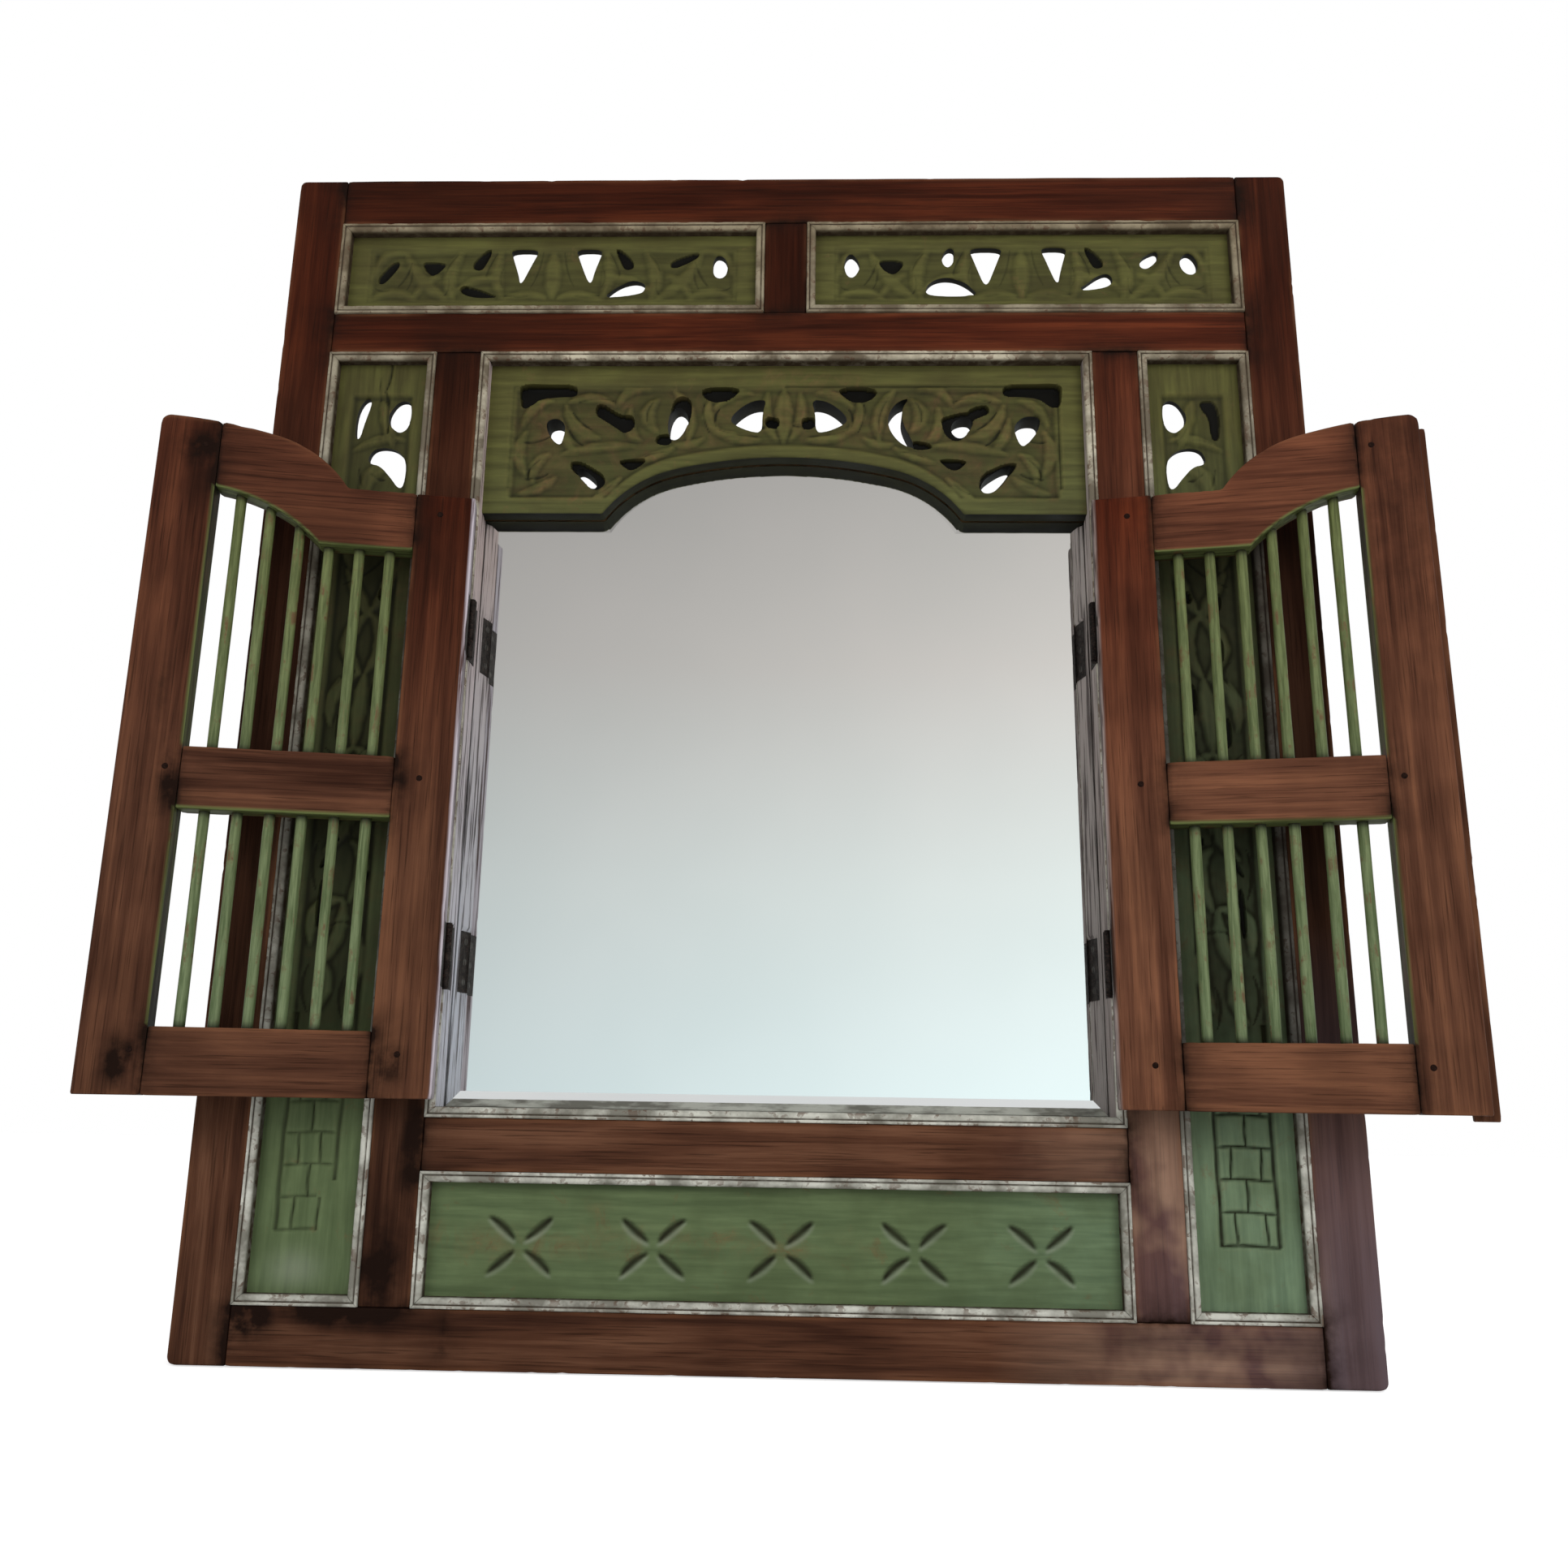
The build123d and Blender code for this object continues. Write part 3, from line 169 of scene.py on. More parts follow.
def board_points(places, low, high, back, front, seed, back_lines, side_lines):
    """Points of a planed board, each as its places along the board, across it and in depth. The section is
    a rectangle with rounded corners, from low to high across and from back to front in depth; it is
    carried along the board's length, drawn in a little at both ends, and shaved by small dips and chips
    along its arrises. Back lines and side lines are where its back and its edges need points. Also how
    near an arris each point lies, and its side, counted from the front round to the low edge."""
    low = np.broadcast_to(low, places.shape)
    high = np.broadcast_to(high, places.shape)
    width, depth = float((high - low).max()), front - back
    back_lines = [line - float(low[0]) for line in back_lines]
    side_lines = [line - back for line in side_lines]
    front_shares = (spaced(0, width, section_step) / width)[1:-1]
    back_shares = (spaced(0, width, section_step * 1.6, back_lines) / width)[1:-1]
    side_shares = (spaced(0, depth, section_step, side_lines) / depth)[1:-1]
    turn = np.linspace(0, pi / 2, 4)
    sides = ((front_shares, 1, (1, 1), pi / 2), (side_shares[::-1], 1, (1, 0), 0),
             (back_shares[::-1], 0, (0, 0), -pi / 2), (side_shares, 0, (0, 1), pi))
    rows = []
    for run, (shares, level, corner, start) in enumerate(sides):
        # the straight part of this side, then the rounded corner at its far end
        for share in shares:
            if run in (0, 2):
                rows.append((share, level, 0, 0, min(share, 1 - share) * width, run))
            else:
                rows.append((level, share, 0, 0, min(share, 1 - share) * depth, run))
        for angle in start - turn:
            rows.append((*corner, cos(angle) - (2 * corner[0] - 1), sin(angle) - (2 * corner[1] - 1), 0, run))
    across_share, deep_share, across_turn, deep_turn, inset, run = np.array(rows).T
    drawn = np.clip(arris - np.minimum(places - places[0], places[-1] - places), 0, None)
    radius = arris * (1 + 0.3 * ripple(np.stack([places, places * 0, places * 0], -1), 0.09, seed))
    along = np.repeat(places[:, None], len(run), 1)
    width_here = (high - low)[:, None] - 2 * drawn[:, None]
    across = low[:, None] + drawn[:, None] + width_here * across_share + radius[:, None] * across_turn
    deep = back + drawn[:, None] + (depth - 2 * drawn[:, None]) * deep_share + radius[:, None] * deep_turn
    local = np.stack([along, across, deep], -1)
    near = np.exp(-inset / worn_band)[None, :]
    chip = np.clip(ripple(local, 0.024, seed + 1) + 0.4 * ripple(local, 0.008, seed + 2) - 0.7, 0, None)
    shave = near * chip * chip_deep
    local[..., 1] -= np.sign(across - ((low + high) / 2)[:, None]) * shave * 0.7
    local[..., 2] -= np.sign(deep - (back + front) / 2) * shave * 0.7
    dip = plane_dip * (0.5 + 0.5 * ripple(local, 0.11, seed + 3))
    local[..., 2] -= np.where((run == 0)[None, :], dip, 0)
    return local, near * np.ones_like(along), run


def board(name, body, replaced, material, slot, origin, directions, places, low, high, back, front,
          seed=1, tone=1.0, dirty=0.55, joints=(), blots=(), pockets=(), edge_pockets=(), painted=(),
          painted_runs=(), greyed=()):
    """A board from board_points, closed at its ends. Pockets are let into its back and edge pockets into
    its low edge: (start, end, from, to, depth). Joints are the straight runs (along, across, along, across)
    where other boards meet it; dirt lies in them and thins out around. Painted and greyed name the sides,
    counted from the front round to the low edge, that are green or grey; the green keeps to its runs along
    the board, or across it at its first end. The tone makes it lighter or darker, all over, from end to
    end, or place by place. Dirty is how far the dirt of its joints shows. Each blot is a bell-shaped patch
    of grime: (along, across, reach along, reach across, strength)."""
    if len(places) == 2:
        start, end = places
        pocket_ends = both_sides(place for pocket in (*pockets, *edge_pockets) for place in pocket[:2])
        places = spaced(start, end, length_step, [start + arris * 0.3, start + arris, end - arris,
                                                  end - arris * 0.3, *pocket_ends])
    back_lines = both_sides(line for pocket in pockets for line in pocket[2:4])
    side_lines = both_sides(line for pocket in edge_pockets for line in pocket[2:4])
    local, wear, run = board_points(places, low, high, back, front, seed, back_lines, side_lines)
    along, across, depth = np.moveaxis(local, -1, 0)
    for start, end, left, right, sunk in pockets:
        inside = (along > start) & (along < end) & (across > left) & (across < right)
        depth[inside & (depth < back + sunk)] = back + sunk
    for start, end, shallow, deep, sunk in edge_pockets:
        inside = (along > start) & (along < end) & (depth > shallow) & (depth < deep)
        across[inside & (across < np.mean(low) + 3 * mm)] = np.mean(low) + sunk
    gaps = np.full(along.shape, 1.0)
    for start, start_across, end, end_across in joints:
        reach, climb = end - start, end_across - start_across
        share = np.clip(((along - start) * reach + (across - start_across) * climb)
                        / (reach ** 2 + climb ** 2), 0, 1)
        gaps = np.minimum(gaps, np.hypot(along - start - share * reach,
                                         across - start_across - share * climb))
    joint = 0.45 * np.exp(-gaps / (1.6 * mm)) + np.clip(dirty * np.exp(-gaps / (14 * mm)), 0, 0.9)
    for at, off, reach, climb, strength in blots:
        bell = np.exp(-((along - at) / reach) ** 2 - ((across - off) / climb) ** 2)
        joint = np.maximum(joint, strength * bell)
    if isinstance(tone, tuple):
        tone = np.interp(places, (places[0], places[-1]), tone)
    face = along if painted else across
    open_run = sum(((face > low_run) & (face < high_run)) * 1.0 for low_run, high_run in painted_runs)
    coat = (np.isin(run, painted)[None, :] if painted else along < places[0] + 0.35 * mm) * open_run
    shares = {"arris": wear, "joint": joint, "coat": coat * np.ones_like(gaps),
              "grey": np.isin(run, greyed)[None, :] * np.ones_like(gaps),
              "tone": np.broadcast_to(tone, gaps.T.shape).T}
    values = {label: np.concatenate([share.ravel(), [share[0].mean(), share[-1].mean()]])
              for label, share in shares.items()}
    points = np.array(origin, float) + local @ np.array(directions, float)
    surface(name, body, *closed_tubes([points]), material, slot, replaced, values)


def feed(tree, socket, value):
    """Give a socket its link from another node, or its own number or colour."""
    if isinstance(value, bpy.types.NodeSocket):
        tree.links.new(value, socket)
    else:
        socket.default_value = value


def node(tree, kind, sockets=(), **settings):
    """One shader node with its settings, and a number, colour or link for each named socket."""
    made = tree.nodes.new(kind)
    for label, value in settings.items():
        setattr(made, label, value)
    for label, value in dict(sockets).items():
        feed(tree, made.inputs[label], value)
    return made


def mixed(tree, share, first, second, way="MIX"):
    """Colour between two colours, by a share that is a number or comes from another node."""
    made = tree.nodes.new("ShaderNodeMix")
    made.data_type, made.blend_type = "RGBA", way
    for place, value in ((0, share), (6, first), (7, second)):
        feed(tree, made.inputs[place], value)
    return made.outputs[2]


def ramp(tree, value, *stops):
    """Colours or numbers laid out along a value: pairs of a place from 0 to 1 and what stands there."""
    made = tree.nodes.new("ShaderNodeValToRGB")
    while len(made.color_ramp.elements) < len(stops):
        made.color_ramp.elements.new(0.5)
    for element, (place, colour) in zip(made.color_ramp.elements, stops):
        element.position = place
        element.color = colour if isinstance(colour, tuple) else (colour, colour, colour, 1)
    tree.links.new(value, made.inputs[0])
    return made.outputs[0]


def arithmetic(tree, way, first, second):
    """Two numbers put together by the named arithmetic."""
    made = tree.nodes.new("ShaderNodeMath")
    made.operation = way
    for socket, value in zip(made.inputs, (first, second)):
        feed(tree, socket, value)
    return made.outputs[0]


def product(tree, first, second):
    """One number times another."""
    return arithmetic(tree, "MULTIPLY", first, second)


def spread(tree, value, low, high, out_low=0.0, out_high=1.0):
    """A value stretched from one range onto another, and held at its ends."""
    return node(tree, "ShaderNodeMapRange", {"Value": value, "From Min": low, "From Max": high,
                                             "To Min": out_low, "To Max": out_high}).outputs[0]


def speckle(tree, where, scale, detail=4.0, rough=0.6, twist=0.0):
    """Random cloud of the given fineness."""
    return node(tree, "ShaderNodeTexNoise", {"Vector": where, "Scale": scale, "Detail": detail,
                                             "Roughness": rough, "Distortion": twist}).outputs[0]


def finish(name):
    """New material with its tree, its shader and the place of each point on the object."""
    material = bpy.data.materials.new(name)
    material.use_nodes = True
    tree = material.node_tree
    shader = tree.nodes["Principled BSDF"]
    where = tree.nodes.new("ShaderNodeTexCoord").outputs["Object"]
    return material, tree, shader, where


def stretched(tree, where, scale, turn=0.0):
    """Places drawn out along the grain, after a turn about the upright in degrees."""
    turned = node(tree, "ShaderNodeMapping", {"Vector": where, "Rotation": (0, 0, radians(turn))})
    return node(tree, "ShaderNodeMapping", {"Vector": turned.outputs[0], "Scale": scale}).outputs[0]


def number(tree, label):
    """A wear number that the piece carries at each point."""
    return node(tree, "ShaderNodeAttribute", attribute_name=label).outputs["Fac"]


def bumped(tree, shader, height, deep, strength=1.0):
    """Small relief on a finish, as deep as its number in metres."""
    bump = node(tree, "ShaderNodeBump", {"Height": height, "Distance": deep, "Strength": strength})
    tree.links.new(bump.outputs[0], shader.inputs["Normal"])


# painted light: the stain's three tones at the foot, and darker and redder ones at the top
wood_low = (paint(56, 33, 24), paint(84, 53, 38), paint(110, 75, 56))
wood_high = (paint(38, 11, 5), paint(58, 22, 11), paint(80, 35, 18))


def stained_wood(name, grain, turn=0.0, low=wood_low, high=wood_high, seed=0.0, painted_glare=0.0, reddest=0.86):
    """Stained hardwood. Streaks are clouds drawn out along the grain, in three finenesses; as painted light,
    the tone turns redder and darker up to its reddest height and darker towards the left, and a painted
    glare, grey and spotted, lies on the foot of the right side as far as its share; joints are black with
    dirt and arrises are rubbed paler."""
    material, tree, shader, where = finish(name)
    moved = node(tree, "ShaderNodeMapping", {"Vector": where, "Location": (seed, seed * 0.7, seed * 1.3)})
    here = moved.outputs[0]
    fine = {"up": (1, 1, 0.022), "across": (0.022, 1, 1)}[grain]
    broad = {"up": (1, 1, 0.075), "across": (0.075, 1, 1)}[grain]
    threads = speckle(tree, stretched(tree, here, fine, turn), 330, 6, 0.65, 0.1)
    bands = speckle(tree, stretched(tree, here, broad, turn), 52, 4, 0.5, 0.9)
    pores = speckle(tree, stretched(tree, here, fine, turn), 760, 2, 0.5)
    cloud = speckle(tree, here, 11, 3, 0.5)
    figure = arithmetic(tree, "ADD", product(tree, threads, 0.4), product(tree, bands, 0.6))
    lower = ramp(tree, figure, (0.36, low[0]), (0.5, low[1]), (0.64, low[2]))
    upper = ramp(tree, figure, (0.36, high[0]), (0.5, high[1]), (0.64, high[2]))
    across, _, height = node(tree, "ShaderNodeSeparateXYZ", {"Vector": where}).outputs
    # painted light: redder and darker up to the reddest height
    colour = mixed(tree, spread(tree, height, 0.38, reddest), lower, upper)
    pore = ramp(tree, pores, (0.33, 0.5), (0.43, 0.0))
    colour = mixed(tree, pore, colour, paint(24, 11, 7))
    patches = ramp(tree, cloud, (0.36, 0.34), (0.55, 0.0))
    colour = mixed(tree, patches, colour, paint(36, 17, 11))
    # painted light: darker towards the left, times each board's tone
    tone_and_painted_light = product(tree, spread(tree, across, -0.45, 0.48, 0.9, 1.2), number(tree, "tone"))
    colour = node(tree, "ShaderNodeHueSaturation", {"Color": colour, "Value": tone_and_painted_light}).outputs[0]
    # painted reflection: a grey, spotted glare over the foot of the right side
    foot_right = product(tree, spread(tree, across, 0.16, 0.3), spread(tree, height, 0.34, 0.04))
    painted_glare_share = product(tree, foot_right, spread(tree, figure, 0.38, 0.6, 0.6, 1.0))
    glare_colour = ramp(tree, speckle(tree, here, 19, 3, 0.5),
                 (0.4, paint(88, 70, 74)), (0.56, paint(158, 130, 112)))
    glare_colour = mixed(tree, spread(tree, across, 0.36, 0.42), glare_colour, paint(94, 80, 85))
    colour = mixed(tree, product(tree, painted_glare_share, painted_glare), colour, glare_colour)
    rubbed = product(tree, number(tree, "arris"), ramp(tree, cloud, (0.42, 0.0), (0.6, 0.4)))
    colour = mixed(tree, rubbed, colour, paint(122, 80, 54))
    grime = speckle(tree, here, 34, 5, 0.6)
    stain = product(tree, number(tree, "joint"), spread(tree, grime, 0.34, 0.62, 0.25, 1.25))
    colour = mixed(tree, stain, colour, paint(20, 10, 8))
    edge_lines = speckle(tree, stretched(tree, here, (1, 1, 0.04)), 240, 4, 0.6)
    left_grey = ramp(tree, edge_lines, (0.4, paint(74, 56, 56)), (0.54, paint(190, 182, 190)))
    right_grey = ramp(tree, edge_lines, (0.4, paint(36, 28, 26)), (0.54, paint(140, 128, 124)))
    lavender = mixed(tree, spread(tree, across, -0.1, 0.1), left_grey, right_grey)
    colour = mixed(tree, number(tree, "grey"), colour, lavender)
    olive = ramp(tree, threads, (0.4, paint(60, 64, 36)), (0.6, paint(92, 102, 60)))
    coat = product(tree, number(tree, "coat"), spread(tree, grime, 0.3, 0.4))
    colour = mixed(tree, coat, colour, olive)
    tree.links.new(colour, shader.inputs["Base Color"])
    tree.links.new(ramp(tree, figure, (0.35, 0.58), (0.65, 0.44)), shader.inputs["Roughness"])
    shader.inputs["Specular IOR Level"].default_value = 0.14
    shader.inputs["Specular Tint"].default_value = (1.0, 0.62, 0.42, 1.0)
    relief = arithmetic(tree, "SUBTRACT", figure, product(tree, pore, 0.5))
    bumped(tree, shader, relief, 0.35 * mm, 0.5)
    return material


# the uprights carry the full painted glare, the rails less of it
upright_wood = stained_wood("stained_hardwood_upright", "up", painted_glare=1.0)
level_wood = stained_wood("stained_hardwood_level", "across", seed=3.1, painted_glare=0.6)

# directions along a board, across it and out of its face, for boards that stand and boards that lie
upward = ((0, 0, 1), (1, 0, 0), (0, -1, 0))
sideways = ((1, 0, 0), (0, 0, 1), (0, -1, 0))
frame_high, frame_thick, frame_round = 1020 * mm, 38 * mm, 6 * mm
stile_in, stile_out = 406 * mm, 450 * mm
inner_in, inner_out = 270 * mm, 310 * mm
mullion_half = 19 * mm
column_low, column_high = 43 * mm, 843 * mm
cross_low, cross_high = 142 * mm, 182 * mm
top_low, top_high = 882 * mm, 974 * mm
rail_heights = {"bottom_rail": (0.0, column_low), "lower_cross_rail": (cross_low, cross_high),
                "second_rail": (column_high, top_low), "top_rail": (top_high, frame_high)}
cleat_half, cleat_bearing, cleat_sunk, cleat_across = 7.3 * mm, 12.3 * mm, 3 * mm, 135 * mm
cleat_heights = (242 * mm, 423.5 * mm, 645 * mm, 804 * mm)
plate_low, plate_high, plate_half, plate_sunk = 874.7 * mm, 925.3 * mm, 10.3 * mm, 2.02 * mm
hole_low, hole_high, hole_half, hole_sunk = 893 * mm, 907 * mm, 7 * mm, 12 * mm

bend = (1 - np.cos(np.linspace(0, pi / 2, 8))) * frame_round
straight = spaced(frame_round, frame_high - frame_round, length_step,
                  both_sides((plate_low, hole_low, hole_high, plate_high)))
stile_places = np.concatenate([bend, straight[1:-1], frame_high - bend[::-1]])
near_end = np.clip(frame_round - np.minimum(stile_places, frame_high - stile_places), 0, frame_round)
cut_in = frame_round - np.sqrt(np.clip(frame_round ** 2 - near_end ** 2, 0, None))
# painted shadow of the open shutters on the outer stiles, between these heights
painted_leaf_shadow = between(stile_places, 200 * mm, 720 * mm)


def runs_up(across, *heights):
    """Joint runs along an upright board's edge, one over each pair of heights."""
    return [(low, across, high, across) for low, high in heights]


for hand, side in (("left", -1), ("right", 1)):
    middle = side * (stile_in + stile_out) / 2
    low, high = sorted((side * stile_in, side * stile_out))
    joined = [rail_heights[rail] for rail in ("bottom_rail", "second_rail", "top_rail")]
    # the outer stile's tone is darkened by the painted shadow of its open shutter
    board(f"outer_stile_{hand}", "frame", [f"frame_stile_{hand}"], upright_wood, "frame_wood", (0, 0, 0),
          upward, stile_places, low + cut_in * (side < 0), high - cut_in * (side > 0), 0, frame_thick,
          seed=11 + side, dirty=1.0, joints=runs_up(side * stile_in, *joined),
          tone=0.98 - 0.45 * painted_leaf_shadow if side < 0 else 0.86 - 0.6 * painted_leaf_shadow,
          pockets=[(plate_low, plate_high, middle - plate_half, middle + plate_half, plate_sunk),
                   (hole_low, hole_high, middle - hole_half, middle + hole_half, hole_sunk)])
    low, high = sorted((side * inner_in, side * inner_out))
    seat = sorted((side * (inner_in - hair), side * (inner_in + cleat_bearing)))
    # painted light, partly: the left upright is darker than the right, and both darken towards the top
    board(f"upright_{hand}", "frame", [f"inner_stile_{hand}"], upright_wood, "frame_wood", (0, 0, 0), upward,
          np.array([column_low, column_high]), low, high, 0, frame_thick, seed=21 + side, dirty=0.8,
          tone=(0.8, 0.55) if side < 0 else (1.34, 1.2),
          blots=[(158 * mm, side * (inner_in + 4 * mm), 44 * mm, 14 * mm, 1.25),
                 (68 * mm, side * (inner_in + 26 * mm), 40 * mm, 20 * mm, 1.4)] if side < 0 else [],
          joints=[(column_low, low, column_low, high), (column_high, low, column_high, high),
                  *runs_up(side * inner_in, rail_heights["lower_cross_rail"])],
          pockets=[(z - cleat_half, z + cleat_half, *seat, cleat_sunk) for z in cleat_heights])

inner_middle, inner_half = (inner_in + inner_out) / 2, (inner_out - inner_in) / 2
uprights = [(-inner_middle, inner_half, (column_low, column_high)),
            (inner_middle, inner_half, (column_low, column_high)), (0, mullion_half, (top_low, top_high))]
# the rails' tones are partly their own and partly painted light: the second and top rails lighten from left
# to right
rail_tones = {"bottom_rail": 0.86, "lower_cross_rail": 0.91, "second_rail": (0.95, 1.28),
              "top_rail": (0.78, 0.98)}
grime_left = -243 * mm
for place, (label, (low, high)) in enumerate(rail_heights.items()):
    reach = inner_in if label == "lower_cross_rail" else stile_in
    seats = {"second_rail": [(low - hair, low + cleat_bearing)],
             "lower_cross_rail": [(high - cleat_bearing, high + hair)]}.get(label, [])
    joints = [(-reach, low, -reach, high), (reach, low, reach, high)]
    joints += [(middle - half, edge, middle + half, edge) for middle, half, edges in uprights
               for edge in edges if edge in (low, high)]
    blots = []
    if label == "bottom_rail":
        joints.append((grime_left, 14 * mm, grime_left, high))
        blots = [(-318 * mm, high, 40 * mm, 13 * mm, 2.4), (-397 * mm, high - 8 * mm, 20 * mm, 15 * mm, 2.4),
                 (grime_left, high - 16 * mm, 5 * mm, 9 * mm, 1.4)]
    board(f"{label}_board", "frame", [label], level_wood, "frame_wood", (0, 0, 0), sideways,
          np.array([-reach, reach]), low, high, 0, frame_thick, seed=31 + place, tone=rail_tones[label],
          joints=joints, blots=blots,
          pockets=[(x - cleat_half, x + cleat_half, *seat, cleat_sunk)
                   for seat in seats for x in (-cleat_across, cleat_across)])
board("mullion_board", "frame", ["top_mullion"], upright_wood, "frame_wood", (0, 0, 0), upward,
      np.array([top_low, top_high]), -mullion_half, mullion_half, 0, frame_thick, seed=41, tone=0.71,
      joints=[(edge, -mullion_half, edge, mullion_half) for edge in (top_low, top_high)])


# Mouldings round the openings. Thin mitred strips of softer wood, planed to an outer fillet and a rounded
# inner bead, painted cream long ago: the paint is yellowed, grey-brown in the quirk and chipped through to
# brown wood on the ridges. Painted light makes it paler at the foot and darker and yellower towards the
# top; painted shade darkens the sides towards the panels, and a painted shadow the strips behind the open
# shutters. The strip round the glass reaches back to it and is cut for the hinges.

def chipped_cream(name):
    """Old cream paint over brown wood, paler at the foot and darker and yellower towards the top as painted
    light. It has dulled in broad patches, is grey-brown in the quirk, chipped on its ridges, darkened by
    painted shade on the sides towards the panels and by a painted shadow behind the open shutters, and
    weathered to lavender grey with dark lines on the deep sides round the glass."""
    material, tree, shader, where = finish(name)
    across, _, height = node(tree, "ShaderNodeSeparateXYZ", {"Vector": where}).outputs
    cloud = speckle(tree, where, 30, 4, 0.6)
    flakes = speckle(tree, where, 120, 4, 0.6, 0.4)
    high_cream = mixed(tree, number(tree, "bright"), paint(138, 127, 104), paint(182, 172, 148))
    # painted light: paler at the foot, darker and yellower towards the top
    cream = mixed(tree, spread(tree, height, 0.15, 0.95), paint(200, 200, 189), high_cream)
    dull = mixed(tree, spread(tree, height, 0.15, 0.95), paint(122, 120, 110), paint(92, 80, 62))
    colour = mixed(tree, ramp(tree, cloud, (0.4, 1.0), (0.6, 0.0)), cream, dull)
    # darker in the quirk, with painted shade on the sides towards the panels
    grime_and_painted_shade = product(tree, number(tree, "quirk_and_painted_shade"), spread(tree, flakes, 0.25, 0.55, 0.55, 1.0))
    colour = mixed(tree, grime_and_painted_shade, colour, paint(54, 42, 30))
    lines = speckle(tree, stretched(tree, where, (1, 1, 0.04)), 260, 4, 0.6)
    left = mixed(tree, spread(tree, height, 0.25, 0.65), paint(208, 210, 220), paint(190, 172, 168))
    right = mixed(tree, spread(tree, height, 0.25, 0.65), paint(150, 140, 136), paint(170, 158, 152))
    pale = mixed(tree, spread(tree, across, -0.1, 0.1), left, right)
    lavender = mixed(tree, ramp(tree, lines, (0.4, 0.85), (0.5, 0.0)), pale, paint(62, 50, 48))
    colour = mixed(tree, number(tree, "reveal"), colour, lavender)
    ridge = product(tree, number(tree, "ridge"), ramp(tree, flakes, (0.56, 0.0), (0.61, 0.8)))
    colour = mixed(tree, ridge, colour, paint(86, 62, 46))
    # painted shadow of the open shutters
    colour = mixed(tree, number(tree, "shade"), colour, paint(30, 22, 18))
    tree.links.new(colour, shader.inputs["Base Color"])
    tree.links.new(ramp(tree, cloud, (0.3, 0.72), (0.7, 0.55)), shader.inputs["Roughness"])
    shader.inputs["Specular IOR Level"].default_value = 0.2
    bumped(tree, shader, flakes, 0.5 * mm, 0.5)
    return material


cream_paint = chipped_cream("chipped_cream_paint")
moulding_front = -40 * mm
strip_deep, glass_strip_deep, arch_strip_deep = 10 * mm, 27 * mm, 12 * mm
hinge_heights = (306 * mm, 580 * mm)
hinge_half, knuckle_half = 25.3 * mm, 26.8 * mm
plate_inset, plate_deep = 6.35 * mm, 21.3 * mm
knuckle_inset, knuckle_front, knuckle_radius = 9.5 * mm, 1.5 * mm, 4.05 * mm
arch_start = 692.7 * mm
# outline of the moulding: distance in from the opening's edge, distance behind its front, and two
# numbers, how much of a ridge the point lies on, where the paint wears, and how much of a quirk, where it
# is darker; painted shade on the sides towards the panels is added to the second later
moulding_outline = np.array([
    (0.0, 8.0, 0, 1), (0.0, 4.0, 0, 0.6), (0.0, 1.2, 0.5, 0), (0.25, 0.4, 1, 0), (0.8, 0.05, 1, 0),
    (1.5, 0.0, 0.6, 0), (2.1, 0.25, 0.4, 0), (2.5, 0.9, 0, 1), (2.9, 1.15, 0, 1), (3.3, 0.8, 0.2, 0.6),
    (4.0, 0.35, 0.6, 0), (5.0, 0.2, 0.6, 0), (6.0, 0.3, 0.7, 0), (7.0, 0.75, 0.9, 0), (7.7, 1.6, 1, 0),
    (8.0, 2.8, 0.6, 0.2)])


def moulding_strip(start, end, inward, behind, seed, hinged=False):
    """Points of one strip. The outline is carried from corner to corner and ends at 45 degrees, each
    point starting later by its own distance from the opening's edge. Small dips follow the ridges. A
    hinged strip is let in for the hinge plates and hollowed round their knuckles, and is shallower behind
    the arch board. Also how much of a ridge, of a quirk and of a side towards the opening each point is."""
    reach = Vector(end) - Vector(start)
    length = reach.length
    run = np.array(reach / length)
    steps = []
    if hinged:
        offsets = (-knuckle_half, -hinge_half, hinge_half, knuckle_half)
        steps = both_sides([abs(z + offset - start[1]) for z in hinge_heights for offset in offsets]
                           + [abs(arch_start - start[1])])
    places = spaced(0, length, 4 * mm, steps) / length
    side_depths = (5, 9, 13, 17, 21.2, 21.35, 24)
    tail = [(8.0, depth, 0, 0.1) for depth in side_depths if depth * mm < behind - 0.5 * mm]
    back = [(8.0, behind / mm, 0, 0.3), (4.0, behind / mm, 0, 1), (0.0, behind / mm, 0, 1)]
    outline = np.concatenate([moulding_outline, np.reshape(tail, (-1, 4)), back])
    from_edge, from_front, ridge, quirk_and_painted_shade = (np.repeat(outline[None, :, part], len(places), 0)
                                           for part in range(4))
    inset, depth = from_edge * mm, from_front * mm
    flat = inset + 0.2 * mm
    along = flat + (length - 2 * flat) * places[:, None]
    if hinged:
        height = start[1] + along * run[1]
        depth = np.where(height > arch_start, np.minimum(depth, arch_strip_deep), depth)
        for z in hinge_heights:
            plate = (np.abs(height - z) < hinge_half) & (depth < plate_deep)
            inset = np.where(plate, np.minimum(inset, plate_inset), inset)
            rise = np.clip(knuckle_radius ** 2 - (depth + knuckle_front) ** 2, 0, None)
            clear = (np.abs(height - z) < knuckle_half) & (rise > 0)
            inset = np.where(clear, np.minimum(inset, knuckle_inset - np.sqrt(rise)), inset)
    side_x = start[0] + along * run[0] + inset * inward[0]
    side_z = start[1] + along * run[1] + inset * inward[1]
    points = np.stack([side_x, moulding_front + depth, side_z], -1)
    chip = np.clip(ripple(points, 0.014, seed) + 0.5 * ripple(points, 0.005, seed + 1) - 0.45, 0, None)
    points[..., 1] += ridge * chip * 0.8 * mm
    inner_side = np.clip((depth / mm - 2) / 1.5, 0, 1) * (from_edge > 7)
    return points, ridge, quirk_and_painted_shade, inner_side


